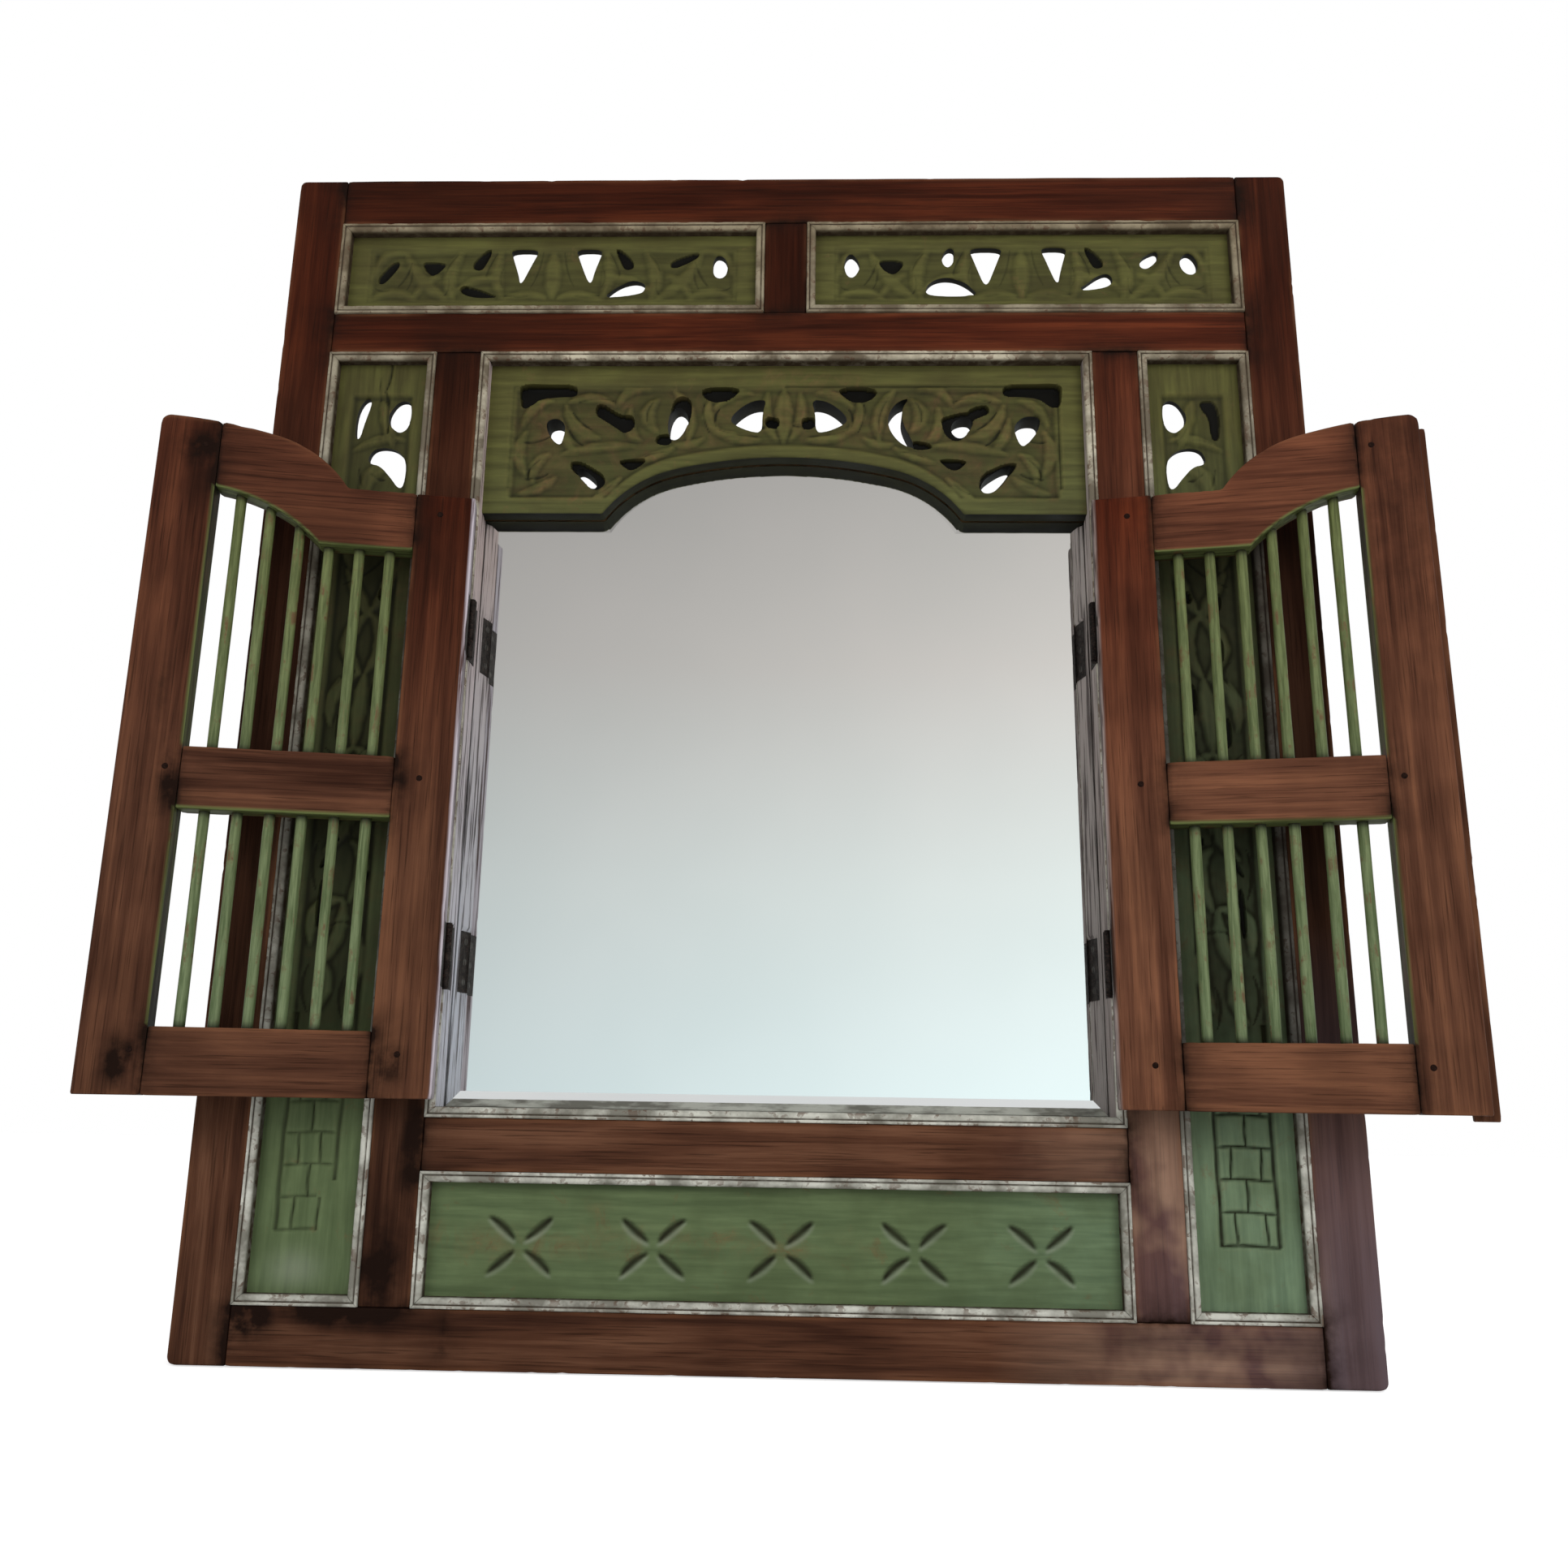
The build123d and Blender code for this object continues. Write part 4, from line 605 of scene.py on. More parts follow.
def moulding(name, node_name, opening, behind, seed, shades):
    """Four mitred strips round one opening, as one piece: the lower, right, upper and left one. Shades are
    how dark the painted shadow of an open shutter lies on each one."""
    x0, x1, z0, z1 = opening
    corners = [(x0, z0), (x1, z0), (x1, z1), (x0, z1)]
    inwards = [(0, 1), (-1, 0), (0, -1), (1, 0)]
    glazed = behind > strip_deep
    strips, values = [], {}
    for place, inward in enumerate(inwards):
        upper, hinged = place == 2, glazed and place in (1, 3)
        points, ridge, quirk_and_painted_shade, inner_side = moulding_strip(
            corners[place], corners[(place + 1) % 4], inward, arch_strip_deep if glazed and upper else behind,
            seed + place * 3, hinged)
        strips.append(points)
        # the sides of the panels' strips that face the panels join the quirk number as painted shade
        shares = {"ridge": ridge, "quirk_and_painted_shade": np.maximum(quirk_and_painted_shade, 0 if glazed and not upper else inner_side),
                  "reveal": inner_side * hinged,
                  "shade": shades[place] * between(points[..., 2], 190 * mm, 730 * mm),
                  "bright": np.full_like(ridge, glazed)}
        for label, share in shares.items():
            values.setdefault(label, []).extend([share.ravel(), [share.mean()] * 2])
    surface(name, "frame", *closed_tubes(strips), cream_paint, "cream_paint", [node_name],
            {label: np.concatenate(shares) for label, shares in values.items()})


# left, right, lower and upper edge of each opening
openings = {"top_left": (-stile_in, -mullion_half, top_low, top_high),
            "top_right": (mullion_half, stile_in, top_low, top_high),
            "column_left": (-stile_in, -inner_out, column_low, column_high),
            "column_right": (inner_out, stile_in, column_low, column_high),
            "bottom": (-inner_in, inner_in, column_low, cross_low),
            "mirror": (-inner_in, inner_in, cross_high, column_high)}
# painted shadow of the open shutters on the side strips, strip by strip
strip_shades = {"column_right": (0, 0.8, 0, 0.6), "column_left": (0, 0.5, 0, 0.3)}
for place, (label, opening) in enumerate(openings.items()):
    moulding(f"moulding_{label}", f"trim_{label}", opening,
             glass_strip_deep if label == "mirror" else strip_deep, 50 + 20 * place,
             strip_shades.get(label, (0, 0, 0, 0)))


# Carved panels. Thin boards held behind the mouldings, carved by hand with leaves and scrolls, the top ones
# and the upper sides pierced right through, then painted olive green over brown. The paint is rubbed off
# the high places, painted shade darkens the cuts, the recesses and the walls of the holes, and one side
# board is split down from its top.

def outline_distance(x, z, outline):
    """Distance from each place to a closed outline, less than nothing inside it, and the nearest place on
    it: the least over all its straight runs, with the inside found by counting the runs crossed."""
    best = np.full(x.shape, 1e9)
    near_x, near_z = np.array(x), np.array(z)
    inside = np.zeros(x.shape, bool)
    for (ax, az), (bx, bz) in zip(outline, np.roll(outline, -1, axis=0)):
        run_x, run_z = bx - ax, bz - az
        share = np.clip(((x - ax) * run_x + (z - az) * run_z) / (run_x ** 2 + run_z ** 2 + 1e-12), 0, 1)
        on_x, on_z = ax + share * run_x, az + share * run_z
        gap = np.hypot(x - on_x, z - on_z)
        closer = gap < best
        best = np.where(closer, gap, best)
        near_x, near_z = np.where(closer, on_x, near_x), np.where(closer, on_z, near_z)
        if bz != az:
            crosses = ((az > z) != (bz > z)) & (x < run_x * (z - az) / run_z + ax)
            inside ^= crosses
    return np.where(inside, -best, best), near_x, near_z


def rounded(outline):
    """A closed outline with its corners cut twice, each time at a quarter of both sides."""
    for _ in range(2):
        after = np.roll(outline, -1, axis=0)
        outline = np.stack([outline * 0.75 + after * 0.25, outline * 0.25 + after * 0.75], 1).reshape(-1, 2)
    return outline


def near_field(x, z, outline, margin):
    """Rows and columns of a grid that lie within a margin of an outline, or None where none do."""
    columns = np.flatnonzero((x[0] > outline[:, 0].min() - margin) & (x[0] < outline[:, 0].max() + margin))
    rows = np.flatnonzero((z[:, 0] > outline[:, 1].min() - margin) & (z[:, 0] < outline[:, 1].max() + margin))
    if not len(columns) or not len(rows):
        return None
    return slice(rows[0], rows[-1] + 1), slice(columns[0], columns[-1] + 1)


def curve_gap(x, z, curve):
    """Distance to a bowed line through three points, and how far along it the nearest place lies."""
    start, bow, end = (np.array(point, float) for point in curve)
    share = np.linspace(0, 1, 15)[:, None]
    line = (1 - share) ** 2 * start + 2 * share * (1 - share) * bow + share ** 2 * end
    best, place = np.full(x.shape, 1e9), np.zeros(x.shape)
    for step in range(14):
        a, run = line[step], line[step + 1] - line[step]
        part = np.clip(((x - a[0]) * run[0] + (z - a[1]) * run[1]) / (run @ run + 1e-12), 0, 1)
        gap = np.hypot(x - a[0] - part * run[0], z - a[1] - part * run[1])
        place = np.where(gap < best, (step + part) / 14, place)
        best = np.minimum(gap, best)
    return best, place


def cuts(x, z, strokes, deep):
    """Depth of V cuts made with a gouge: deepest on each bowed line, running out to both sides and ends."""
    depth = np.zeros(x.shape)
    for *curve, width in strokes:
        where = near_field(x, z, np.array(curve), width)
        if where:
            gap, place = curve_gap(x[where], z[where], curve)
            half = width / 2 * np.sin(pi * np.clip(place, 0.02, 0.98)) ** 0.5
            depth[where] = np.maximum(depth[where], deep * width / 6 * np.clip(1 - gap / half, 0, 1))
    return depth


def leaves(x, z, blades, high):
    """Height of carved leaves: crowned across each bowed spine, pointed at both ends, notched along the
    edge and cut with a vein down the middle."""
    height = np.zeros(x.shape)
    for *curve, width in blades:
        where = near_field(x, z, np.array(curve), width)
        if where:
            gap, place = curve_gap(x[where], z[where], curve)
            notch = 1 - 0.16 * np.abs(np.sin(place * pi * 3.5))
            half = width / 2 * np.sin(pi * np.clip(place, 0.01, 0.99)) ** 0.6 * notch
            crown = np.sqrt(np.clip(1 - (gap / half) ** 2, 0, 1))
            vein = 0.35 * np.exp(-(gap / 1.2) ** 2) * (half > 2)
            height[where] = np.maximum(height[where], high * (crown - vein * crown))
    return height


def softened(numbers, cells):
    """Numbers on a grid averaged over a square of cells each way."""
    for axis in (0, 1):
        padded = np.concatenate([np.take(numbers, [0] * cells, axis), numbers,
                                 np.take(numbers, [-1] * cells, axis)], axis)
        total = np.cumsum(padded, axis)
        zero = np.zeros_like(np.take(total, [0], axis))
        total = np.concatenate([zero, total], axis)
        span, size = 2 * cells + 1, numbers.shape[axis]
        numbers = (np.take(total, range(span, span + size), axis)
                   - np.take(total, range(size), axis)) / span
    return numbers


def nearest_rim(x, z, outlines):
    """How far each grid place is from the nearest outline, less than nothing inside it, and the nearest
    place on it. A place far from all of them counts as a metre away and keeps its own place."""
    gap, near_x, near_z = np.full(x.shape, 1e3), x.copy(), z.copy()
    for outline in outlines:
        where = near_field(x, z, outline, 5)
        found, on_x, on_z = outline_distance(x[where], z[where], outline)
        closer = found < gap[where]
        gap[where] = np.where(closer, found, gap[where])
        near_x[where] = np.where(closer, on_x, near_x[where])
        near_z[where] = np.where(closer, on_z, near_z[where])
    return gap, near_x, near_z


def kept_faces(state, gap):
    """Faces of a square grid whose places have the state 1 in the wood, 0 on a rim and -1 in a hole: quads
    between four kept places, triangles between three, and none across a hole. The places that faces use
    are numbered from nothing on."""
    index = np.arange(state.size).reshape(state.shape)
    square = np.stack([index[:-1, :-1], index[:-1, 1:], index[1:, 1:], index[1:, :-1]], -1).reshape(-1, 4)
    states, gaps = state.ravel()[square], gap.ravel()[square]
    kept = states >= 0
    count = kept.sum(axis=1)
    solid = (states > 0).any(axis=1) | (np.where(kept, gaps, 0).sum(axis=1) > 0)
    quads = square[(count == 4) & solid]
    cut = (count == 3) & solid
    order = (np.argmin(kept[cut], axis=1)[:, None] + np.array([1, 2, 3])) % 4
    triangles = np.take_along_axis(square[cut], order, 1)
    used = np.unique(np.concatenate([quads.ravel(), triangles.ravel()]))
    renumber = np.full(state.size, -1)
    renumber[used] = np.arange(len(used))
    return used, renumber[quads], renumber[triangles]


def rim_edges(quads, triangles, count):
    """Edges that belong to one face only, each in the direction in which its face runs round."""
    edges = np.concatenate([quads[:, [0, 1]], quads[:, [1, 2]], quads[:, [2, 3]], quads[:, [3, 0]],
                            triangles[:, [0, 1]], triangles[:, [1, 2]], triangles[:, [2, 0]]])
    key = np.sort(edges, axis=1)
    _, inverse, times = np.unique(key[:, 0] * count + key[:, 1], return_inverse=True, return_counts=True)
    return edges[times[inverse.ravel()] == 1]


def carved_board(name, node_name, edges, cell, face, back, relief, through, material, seed, blind=(),
                 blind_depth=5.5, outside=None, rebate=None, ageing=None):
    """A carved and pierced board, in millimetres. Its face is a height field on a square grid, pushed back
    by the relief. Grid points near a pierced outline move onto it, faces inside it go, and the rim is
    carried straight back to a rear face of the same plan. Blind outlines are sunk but not pierced, the
    outside is the sawn outline of the whole board, and a rebate thins it from behind inside an outline.
    Ageing gives more rubbing, painted shade, and fading with painted light. Recesses and cuts are
    darkened as painted shade, and the blind recesses and the walls of holes are painted near black as shade."""
    x0, x1, z0, z1 = edges
    columns = np.linspace(x0, x1, int(round((x1 - x0) / cell)) + 1)
    rows = np.linspace(z0, z1, int(round((z1 - z0) / cell)) + 1)
    x, z = np.meshgrid(columns, rows)
    holes = [rounded(np.array(outline, float)) for outline in through]
    gap, near_x, near_z = nearest_rim(x, z, holes if outside is None else [*holes, outside])

    # the carved face: relief, tool marks, rounded rims and blind recesses
    places = np.stack([x, x * 0 + face, z], -1) * mm
    carved = (relief(x, z) + 0.12 * (1 + ripple(places, 0.05, seed))
              + 0.07 * (1 + ripple(places, 0.013, seed + 1)))
    around = softened(carved, max(2, int(round(4 / cell))))
    worn = np.clip((around - carved - 0.2) / 1.6, 0, 1)
    # painted shade: darker where the face lies below its surroundings and where it lies deep
    sunk = np.clip((carved - around) / 1.8, 0, 0.75) + np.clip((carved - 0.6) / 6, 0, 0.45)
    depth = carved + 0.8 * np.exp(-np.clip(gap, 0, None) / 1.1)
    lined_x, lined_z = x.copy(), z.copy()
    for outline in blind:
        outline = rounded(np.array(outline, float))
        where = near_field(x, z, outline, 3)
        found, on_x, on_z = outline_distance(x[where], z[where], outline)
        recess = (blind_depth - 1.5 * np.exp(found / 2)) * (found < -0.5 * cell)
        depth[where] = np.maximum(depth[where], recess)
        on_line = np.abs(found) <= 0.5 * cell
        lined_x[where] = np.where(on_line, on_x, lined_x[where])
        lined_z[where] = np.where(on_line, on_z, lined_z[where])
    # painted shade: near black on the floors and walls of the blind recesses
    grime_and_painted_shade = np.clip((depth - carved - 0.9) / 1.2, 0, 1)
    rubbed, painted_shade, fade_and_painted_light = ageing(x, z) if ageing else (0 * x, 0 * x, 0 * x)
    painted_shade = np.clip(sunk + painted_shade, 0, 1)

    # the plan: grid places next to a rim or a recess are moved onto it, but none off the board's edges
    snap = ((gap >= 0) & (gap < 0.35 * cell)) | ((gap < 0) & (gap > -0.65 * cell))
    inner = (x > x0) & (x < x1) & (z > z0) & (z < z1)
    if outside is None:
        snap &= inner
    else:
        near_x, near_z = np.clip(near_x, x0, x1), np.clip(near_z, z0, z1)
    plan_x = np.where(snap, near_x, np.where(inner, lined_x, x))
    plan_z = np.where(snap, near_z, np.where(inner, lined_z, z))
    used, quads, triangles = kept_faces(np.where(snap, 0, np.sign(gap)).astype(int), gap)
    rim = rim_edges(quads, triangles, len(used))

    # three layers of points: the face, a line just behind the rims, and the rear
    flat_x, flat_z, flat_depth = (numbers.ravel()[used] for numbers in (plan_x, plan_z, depth))
    rear = np.full(len(used), float(back))
    if rebate is not None:
        rebate_outline, rebate_face = rebate
        rear = np.where(outline_distance(flat_x, flat_z, rebate_outline)[0] < 0, rebate_face, rear)
    front_points = np.stack([flat_x, face + flat_depth, flat_z], -1)
    rim_points = np.stack([flat_x, np.minimum(face + flat_depth + 1.3, rear - 0.3), flat_z], -1)
    rear_points = np.stack([flat_x, rear, flat_z], -1)
    on_rim = np.unique(rim)
    rim_number = np.full(len(used), -1)
    rim_number[on_rim] = np.arange(len(on_rim)) + len(used)
    rear_shift = len(used) + len(on_rim)
    a, b = rim[:, 0], rim[:, 1]
    walls = np.concatenate([np.stack([b, a, rim_number[a], rim_number[b]], -1),
                            np.stack([rim_number[b], rim_number[a], a + rear_shift, b + rear_shift], -1)])
    points = np.concatenate([front_points, rim_points[on_rim], rear_points]) * mm

    # wear numbers and painted shade, each on the face, on the line behind the rims, and on the rear
    # painted shade: the walls of holes near black, the arch's sawn underside a little less
    rim_painted_shade = np.ones(len(on_rim))
    if outside is not None:
        sawn = outline_distance(flat_x[on_rim], flat_z[on_rim], outside)[0]
        rim_painted_shade = np.where(np.abs(sawn) < 0.3 * cell, 0.84, 1.0)
    bare = np.ones(len(used))
    bare[on_rim] = 0
    # sunk carries the painted shade of recesses, cuts and the shutters' bars
    layers = {"worn": (worn, 0, 0), "sunk": (painted_shade, 0.3, 0), "rubbed": (rubbed, 0, 0),
              "fade_and_painted_light": (fade_and_painted_light, 0, 0), "grime_and_painted_shade": (grime_and_painted_shade, rim_painted_shade, 0.8), "bare": (0 * x, 0, bare)}
    values = {label: np.concatenate([front.ravel()[used], line * np.ones(len(on_rim)),
                                     behind * np.ones(len(used))])
              for label, (front, line, behind) in layers.items()}
    surface(name, "frame", points, np.concatenate([quads, walls, quads[:, ::-1] + rear_shift]),
            np.concatenate([triangles, triangles[:, ::-1] + rear_shift]), material, "green_paint",
            [node_name], values, crease=50)


def worn_green(name, grain):
    """Olive paint, streaked by the brush along the grain, rubbed brown on the carving's high places and in
    patches. As painted light it is warmer and darker towards the top and cooler at the foot of the right
    side; as painted shade it is dark in its cuts and holes and behind the shutters' bars."""
    material, tree, shader, where = finish(name)
    across, _, height = node(tree, "ShaderNodeSeparateXYZ", {"Vector": where}).outputs
    fine = {"up": (1, 1, 0.07), "across": (0.07, 1, 1)}[grain]
    streaks = speckle(tree, stretched(tree, where, fine), 170, 4, 0.55, 0.2)
    cloud = speckle(tree, where, 20, 4, 0.55)
    flecks = speckle(tree, where, 110, 4, 0.6, 0.3)
    # painted light: warmer and darker at the top, paler at the foot, cooler at the right side's foot
    top = ramp(tree, streaks, (0.34, paint(69, 67, 35)), (0.66, paint(89, 88, 46)))
    foot = ramp(tree, streaks, (0.34, paint(78, 93, 62)), (0.66, paint(98, 114, 78)))
    cool = ramp(tree, streaks, (0.34, paint(92, 114, 88)), (0.66, paint(114, 137, 106)))
    foot = mixed(tree, spread(tree, across, 0.1, 0.36), foot, cool)
    colour = mixed(tree, spread(tree, height, 0.1, 0.78), foot, top)
    shade = ramp(tree, cloud, (0.36, 0.4), (0.56, 0.0))
    dusk = mixed(tree, spread(tree, height, 0.1, 0.6), paint(70, 82, 50), paint(60, 52, 28))
    colour = mixed(tree, shade, colour, dusk)
    brown = ramp(tree, flecks, (0.3, paint(86, 62, 40)), (0.7, paint(120, 94, 62)))
    patchy = speckle(tree, where, 40, 5, 0.7, 0.6)
    patches = arithmetic(tree, "ADD", ramp(tree, patchy, (0.6, 0.0), (0.68, 0.35)),
                         product(tree, number(tree, "rubbed"), ramp(tree, patchy, (0.44, 0.0), (0.62, 0.7))))
    colour = mixed(tree, patches, colour, brown)
    tan = mixed(tree, spread(tree, height, 0.2, 0.7), paint(128, 138, 100), paint(112, 100, 56))
    rub = product(tree, number(tree, "worn"), spread(tree, flecks, 0.35, 0.6, 0.15, 0.6))
    colour = mixed(tree, rub, colour, tan)
    # fading, and painted light on the slopes and the foot it is given for
    pale = product(tree, number(tree, "fade_and_painted_light"), spread(tree, cloud, 0.3, 0.6, 0.5, 1.0))
    colour = mixed(tree, pale, colour, paint(140, 147, 130))
    # painted shade in recesses and cuts and behind the shutters' bars
    colour = mixed(tree, number(tree, "sunk"), colour, paint(27, 27, 13))
    # painted shade: near black in holes and blind recesses
    colour = mixed(tree, number(tree, "grime_and_painted_shade"), colour, paint(9, 8, 5))
    unpainted = ramp(tree, streaks, (0.34, paint(84, 60, 40)), (0.66, paint(122, 92, 62)))
    colour = mixed(tree, number(tree, "bare"), colour, mixed(tree, shade, unpainted, paint(70, 54, 42)))
    tree.links.new(colour, shader.inputs["Base Color"])
    tree.links.new(ramp(tree, cloud, (0.3, 0.52), (0.7, 0.7)), shader.inputs["Roughness"])
    shader.inputs["Specular IOR Level"].default_value = 0.16
    bumped(tree, shader, arithmetic(tree, "ADD", streaks, product(tree, flecks, 0.6)), 0.4 * mm, 0.45)
    return material


green_level = worn_green("worn_olive_paint_level", "across")
green_upright = worn_green("worn_olive_paint_upright", "up")
panel_face, panel_back, panel_gap = -30, -21, 0.3


def panel_edges(label):
    """Left, right, lower and upper edge, in millimetres, of the board that fills an opening with a small
    gap all round."""
    x0, x1, z0, z1 = (edge / mm for edge in openings[label])
    return x0 + panel_gap, x1 - panel_gap, z0 + panel_gap, z1 - panel_gap


def mirrored(outline):
    """The outline on the other side of the middle."""
    return [(-across, up) for across, up in outline]


def smooth_step(value):
    """Zero below nothing, one above one, and an even bend between."""
    value = np.clip(value, 0, 1)
    return value * value * (3 - 2 * value)


# outlines of the piercings of a top panel, measured out from its middle, and up; then its carved leaves and
# its gouge cuts, each the start, bow and end of a curve and its width
wedge_hole = [(17, 954), (42, 954), (40, 947), (36, 932), (34, 920), (31, 919), (26, 932), (21, 946)]
slant_hole = [(56, 954), (62, 953), (70, 946), (74, 940), (74, 934), (66, 932), (61, 941)]
hook_hole = [(106, 936), (108, 942), (120, 947), (133, 951), (134, 945), (122, 939), (112, 934)]
drip_hole = [(97, 940), (110, 942), (121, 942), (119, 934), (111, 926), (105, 930)]
pod_hole = [(141, 938), (143, 943), (150, 940), (156, 932), (161, 925), (160, 919), (155, 919), (149, 926)]
top_blades = [
    ((0, 904), (1, 926), (0, 950), 15), ((5, 903), (22, 912), (47, 901), 9),
    ((46, 904), (56, 926), (48, 951), 11), ((46, 921), (68, 932), (94, 905), 8),
    ((90, 903), (101, 926), (84, 951), 13), ((95, 903), (120, 914), (136, 950), 12),
    ((124, 902), (146, 916), (164, 903), 10), ((136, 950), (160, 956), (164, 926), 8),
    ((104, 927), (118, 922), (126, 905), 8)]
top_strokes = [
    ((10, 951), (12, 930), (20, 915), 3), ((52, 950), (66, 926), (58, 922), 3),
    ((88, 948), (96, 940), (98, 930), 4), ((96, 925), (92, 912), (100, 905), 3),
    ((130, 940), (134, 925), (142, 916), 4), ((134, 912), (128, 922), (130, 934), 3),
    ((45, 915), (50, 922), (46, 934), 3), ((20, 906), (32, 903), (44, 907), 3),
    ((148, 912), (156, 909), (163, 915), 3)]


top_field = (168, 899, 953)


def top_relief(middle):
    """Depth of a top panel's carving: a field sunk inside an incised border, with leaves standing in it."""
    half, foot, top = top_field

    def depth(x, z):
        out = np.abs(x - middle)
        edge = np.minimum(np.minimum(half - out, top - z), z - foot)
        ground = 2.2 * smooth_step(edge / 4)
        line = 0.6 * np.exp(-(edge / 1.3) ** 2)
        field = softened(np.clip(ground - leaves(out, z, top_blades, 2.1), 0, None), 2)
        return field + line + cuts(out, z, top_strokes, 1.2)
    return depth


broad_wedge = [(16, 954), (47, 954), (44, 946), (38, 929), (34, 918), (30, 917), (25, 930), (19, 946)]
low_crescent = [(38, 906), (46, 915), (57, 922), (69, 924), (80, 921), (86, 914), (86, 907), (66, 905)]
small_crescent = [(51, 912), (59, 918), (68, 925), (77, 929), (82, 924), (81, 916), (71, 913), (59, 911)]
small_slant = [(60, 953), (66, 954), (71, 947), (71, 939), (66, 934), (61, 939), (60, 946)]
bud_hole = [(106, 935), (108, 943), (115, 948), (123, 951), (124, 944), (119, 937), (112, 932)]
bean_hole = [(142, 937), (144, 945), (150, 949), (156, 944), (159, 936), (157, 929), (152, 926), (146, 929)]
seed_hole = [(145, 934), (147, 943), (153, 949), (158, 945), (160, 936), (157, 926), (151, 924)]
near_wedge = [(13, 954), (40, 954), (38, 947), (33, 932), (31, 921), (28, 920), (23, 932), (17, 946)]
far_wedge = [(20, 954), (45, 954), (43, 947), (38, 932), (36, 921), (33, 920), (28, 932), (23, 946)]
slim_crescent = [(48, 905), (54, 912), (64, 919), (76, 922), (85, 919), (85, 911), (76, 908), (62, 906)]
thin_crescent = [(48, 905), (56, 909), (68, 914), (80, 917), (86, 913), (80, 907), (66, 904)]
near_oval = [(146, 932), (146, 942), (150, 948), (157, 945), (160, 936), (158, 927), (153, 924), (148, 926)]
far_drip = [(104, 940), (114, 943), (129, 942), (127, 934), (118, 926), (110, 930)]
# which holes stand left and right of each top panel's middle, and which of them were cut right through
top_holes = {
    "left": ((near_wedge,), (thin_crescent, slant_hole, drip_hole, pod_hole),
             (far_wedge, slim_crescent, near_oval), (slant_hole, hook_hole)),
    "right": ((broad_wedge, low_crescent, small_slant, seed_hole), (far_drip,),
              (wedge_hole, small_crescent, bud_hole, bean_hole), (slant_hole,))}
for hand, seed in (("left", 71), ("right", 75)):
    edges = panel_edges(f"top_{hand}")
    middle = (edges[0] + edges[1]) / 2
    left_open, left_dark, right_open, right_dark = (
        [[(middle + way * across, up) for across, up in hole] for hole in holes]
        for holes, way in zip(top_holes[hand], (-1, -1, 1, 1)))
    carved_board(f"pierced_panel_{hand}", f"panel_top_{hand}", edges, 1.0, panel_face, panel_back,
                 top_relief(middle), left_open + right_open, green_level, seed, blind=left_dark + right_dark)

# outlines of a side panel's piercings on the right-hand side
drop_hole = [(333, 801), (344, 801), (352, 788), (351, 777), (342, 769), (334, 773), (331, 786)]
bent_slot = [(363, 801), (381, 801), (381, 762), (372, 762), (371, 785), (365, 792)]
lean_slot = [(367, 802), (374, 804), (381, 790), (381, 765), (376, 763), (373, 780)]
moon_hole = [(333, 718), (332, 742), (341, 753), (354, 756), (364, 753), (368, 741), (355, 737), (345, 726),
             (338, 716)]
column_dark = [
    [(340, 622), (346, 623), (347, 611), (341, 610)], [(366, 622), (372, 618), (371, 604), (365, 606)],
    [(364, 582), (371, 578), (370, 558), (364, 558)], [(338, 542), (346, 540), (346, 513), (338, 511)],
    [(367, 514), (373, 510), (373, 486), (366, 484)], [(339, 412), (345, 411), (344, 402), (339, 403)],
    [(358, 405), (363, 404), (377, 378), (371, 377)], [(333, 377), (339, 376), (340, 366), (334, 367)],
    [(337, 347), (343, 345), (343, 336), (338, 336)], [(368, 370), (374, 369), (374, 328), (369, 328)],
    [(335, 262), (341, 261), (341, 253), (335, 254)]]
column_blades = [
    ((346, 757), (352, 782), (358, 800), 14), ((336, 762), (356, 768), (380, 752), 9),
    ((346, 735), (366, 738), (368, 706), 16), ((330, 712), (330, 700), (346, 690), 9),
    ((350, 705), (352, 680), (340, 650), 15), ((372, 700), (384, 672), (372, 640), 13),
    ((336, 655), (332, 630), (352, 600), 13), ((376, 640), (360, 610), (352, 596), 12),
    ((352, 600), (384, 575), (356, 545), 15), ((352, 600), (330, 575), (352, 545), 13),
    ((356, 545), (384, 535), (378, 500), 13), ((352, 545), (354, 520), (356, 480), 14),
    ((356, 480), (330, 470), (336, 430), 14), ((356, 480), (384, 460), (374, 425), 14),
    ((352, 440), (350, 410), (372, 392), 12), ((350, 400), (330, 390), (348, 350), 13),
    ((352, 352), (384, 352), (376, 316), 13), ((352, 352), (350, 320), (366, 300), 12),
    ((366, 304), (354, 282), (369, 262), 12), ((340, 330), (330, 300), (344, 270), 12)]
column_strokes = [
    ((340, 760), (348, 764), (352, 775), 3), ((372, 758), (362, 764), (356, 762), 3),
    ((364, 731), (356, 722), (350, 724), 4), ((374, 735), (372, 715), (362, 708), 3),
    ((334, 700), (344, 690), (340, 672), 4), ((380, 690), (366, 676), (364, 656), 4),
    ((344, 650), (360, 632), (378, 626), 4), ((334, 592), (342, 572), (336, 560), 4),
    ((376, 560), (362, 548), (378, 532), 4), ((344, 500), (338, 486), (350, 474), 4),
    ((380, 480), (366, 470), (370, 446), 4), ((344, 428), (356, 420), (350, 404), 4),
    ((378, 400), (384, 380), (376, 360), 4), ((338, 330), (352, 338), (362, 330), 4),
    ((376, 300), (384, 280), (374, 262), 4), ((346, 290), (352, 276), (346, 258), 4)]


field_near, field_far, field_foot, field_top = 329.5, 386, 240, 806
brick_near, brick_far, brick_high, brick_top = 338.5, 381.5, 24, 262
brick_levels = [97 + brick_high * course for course in range(7)]
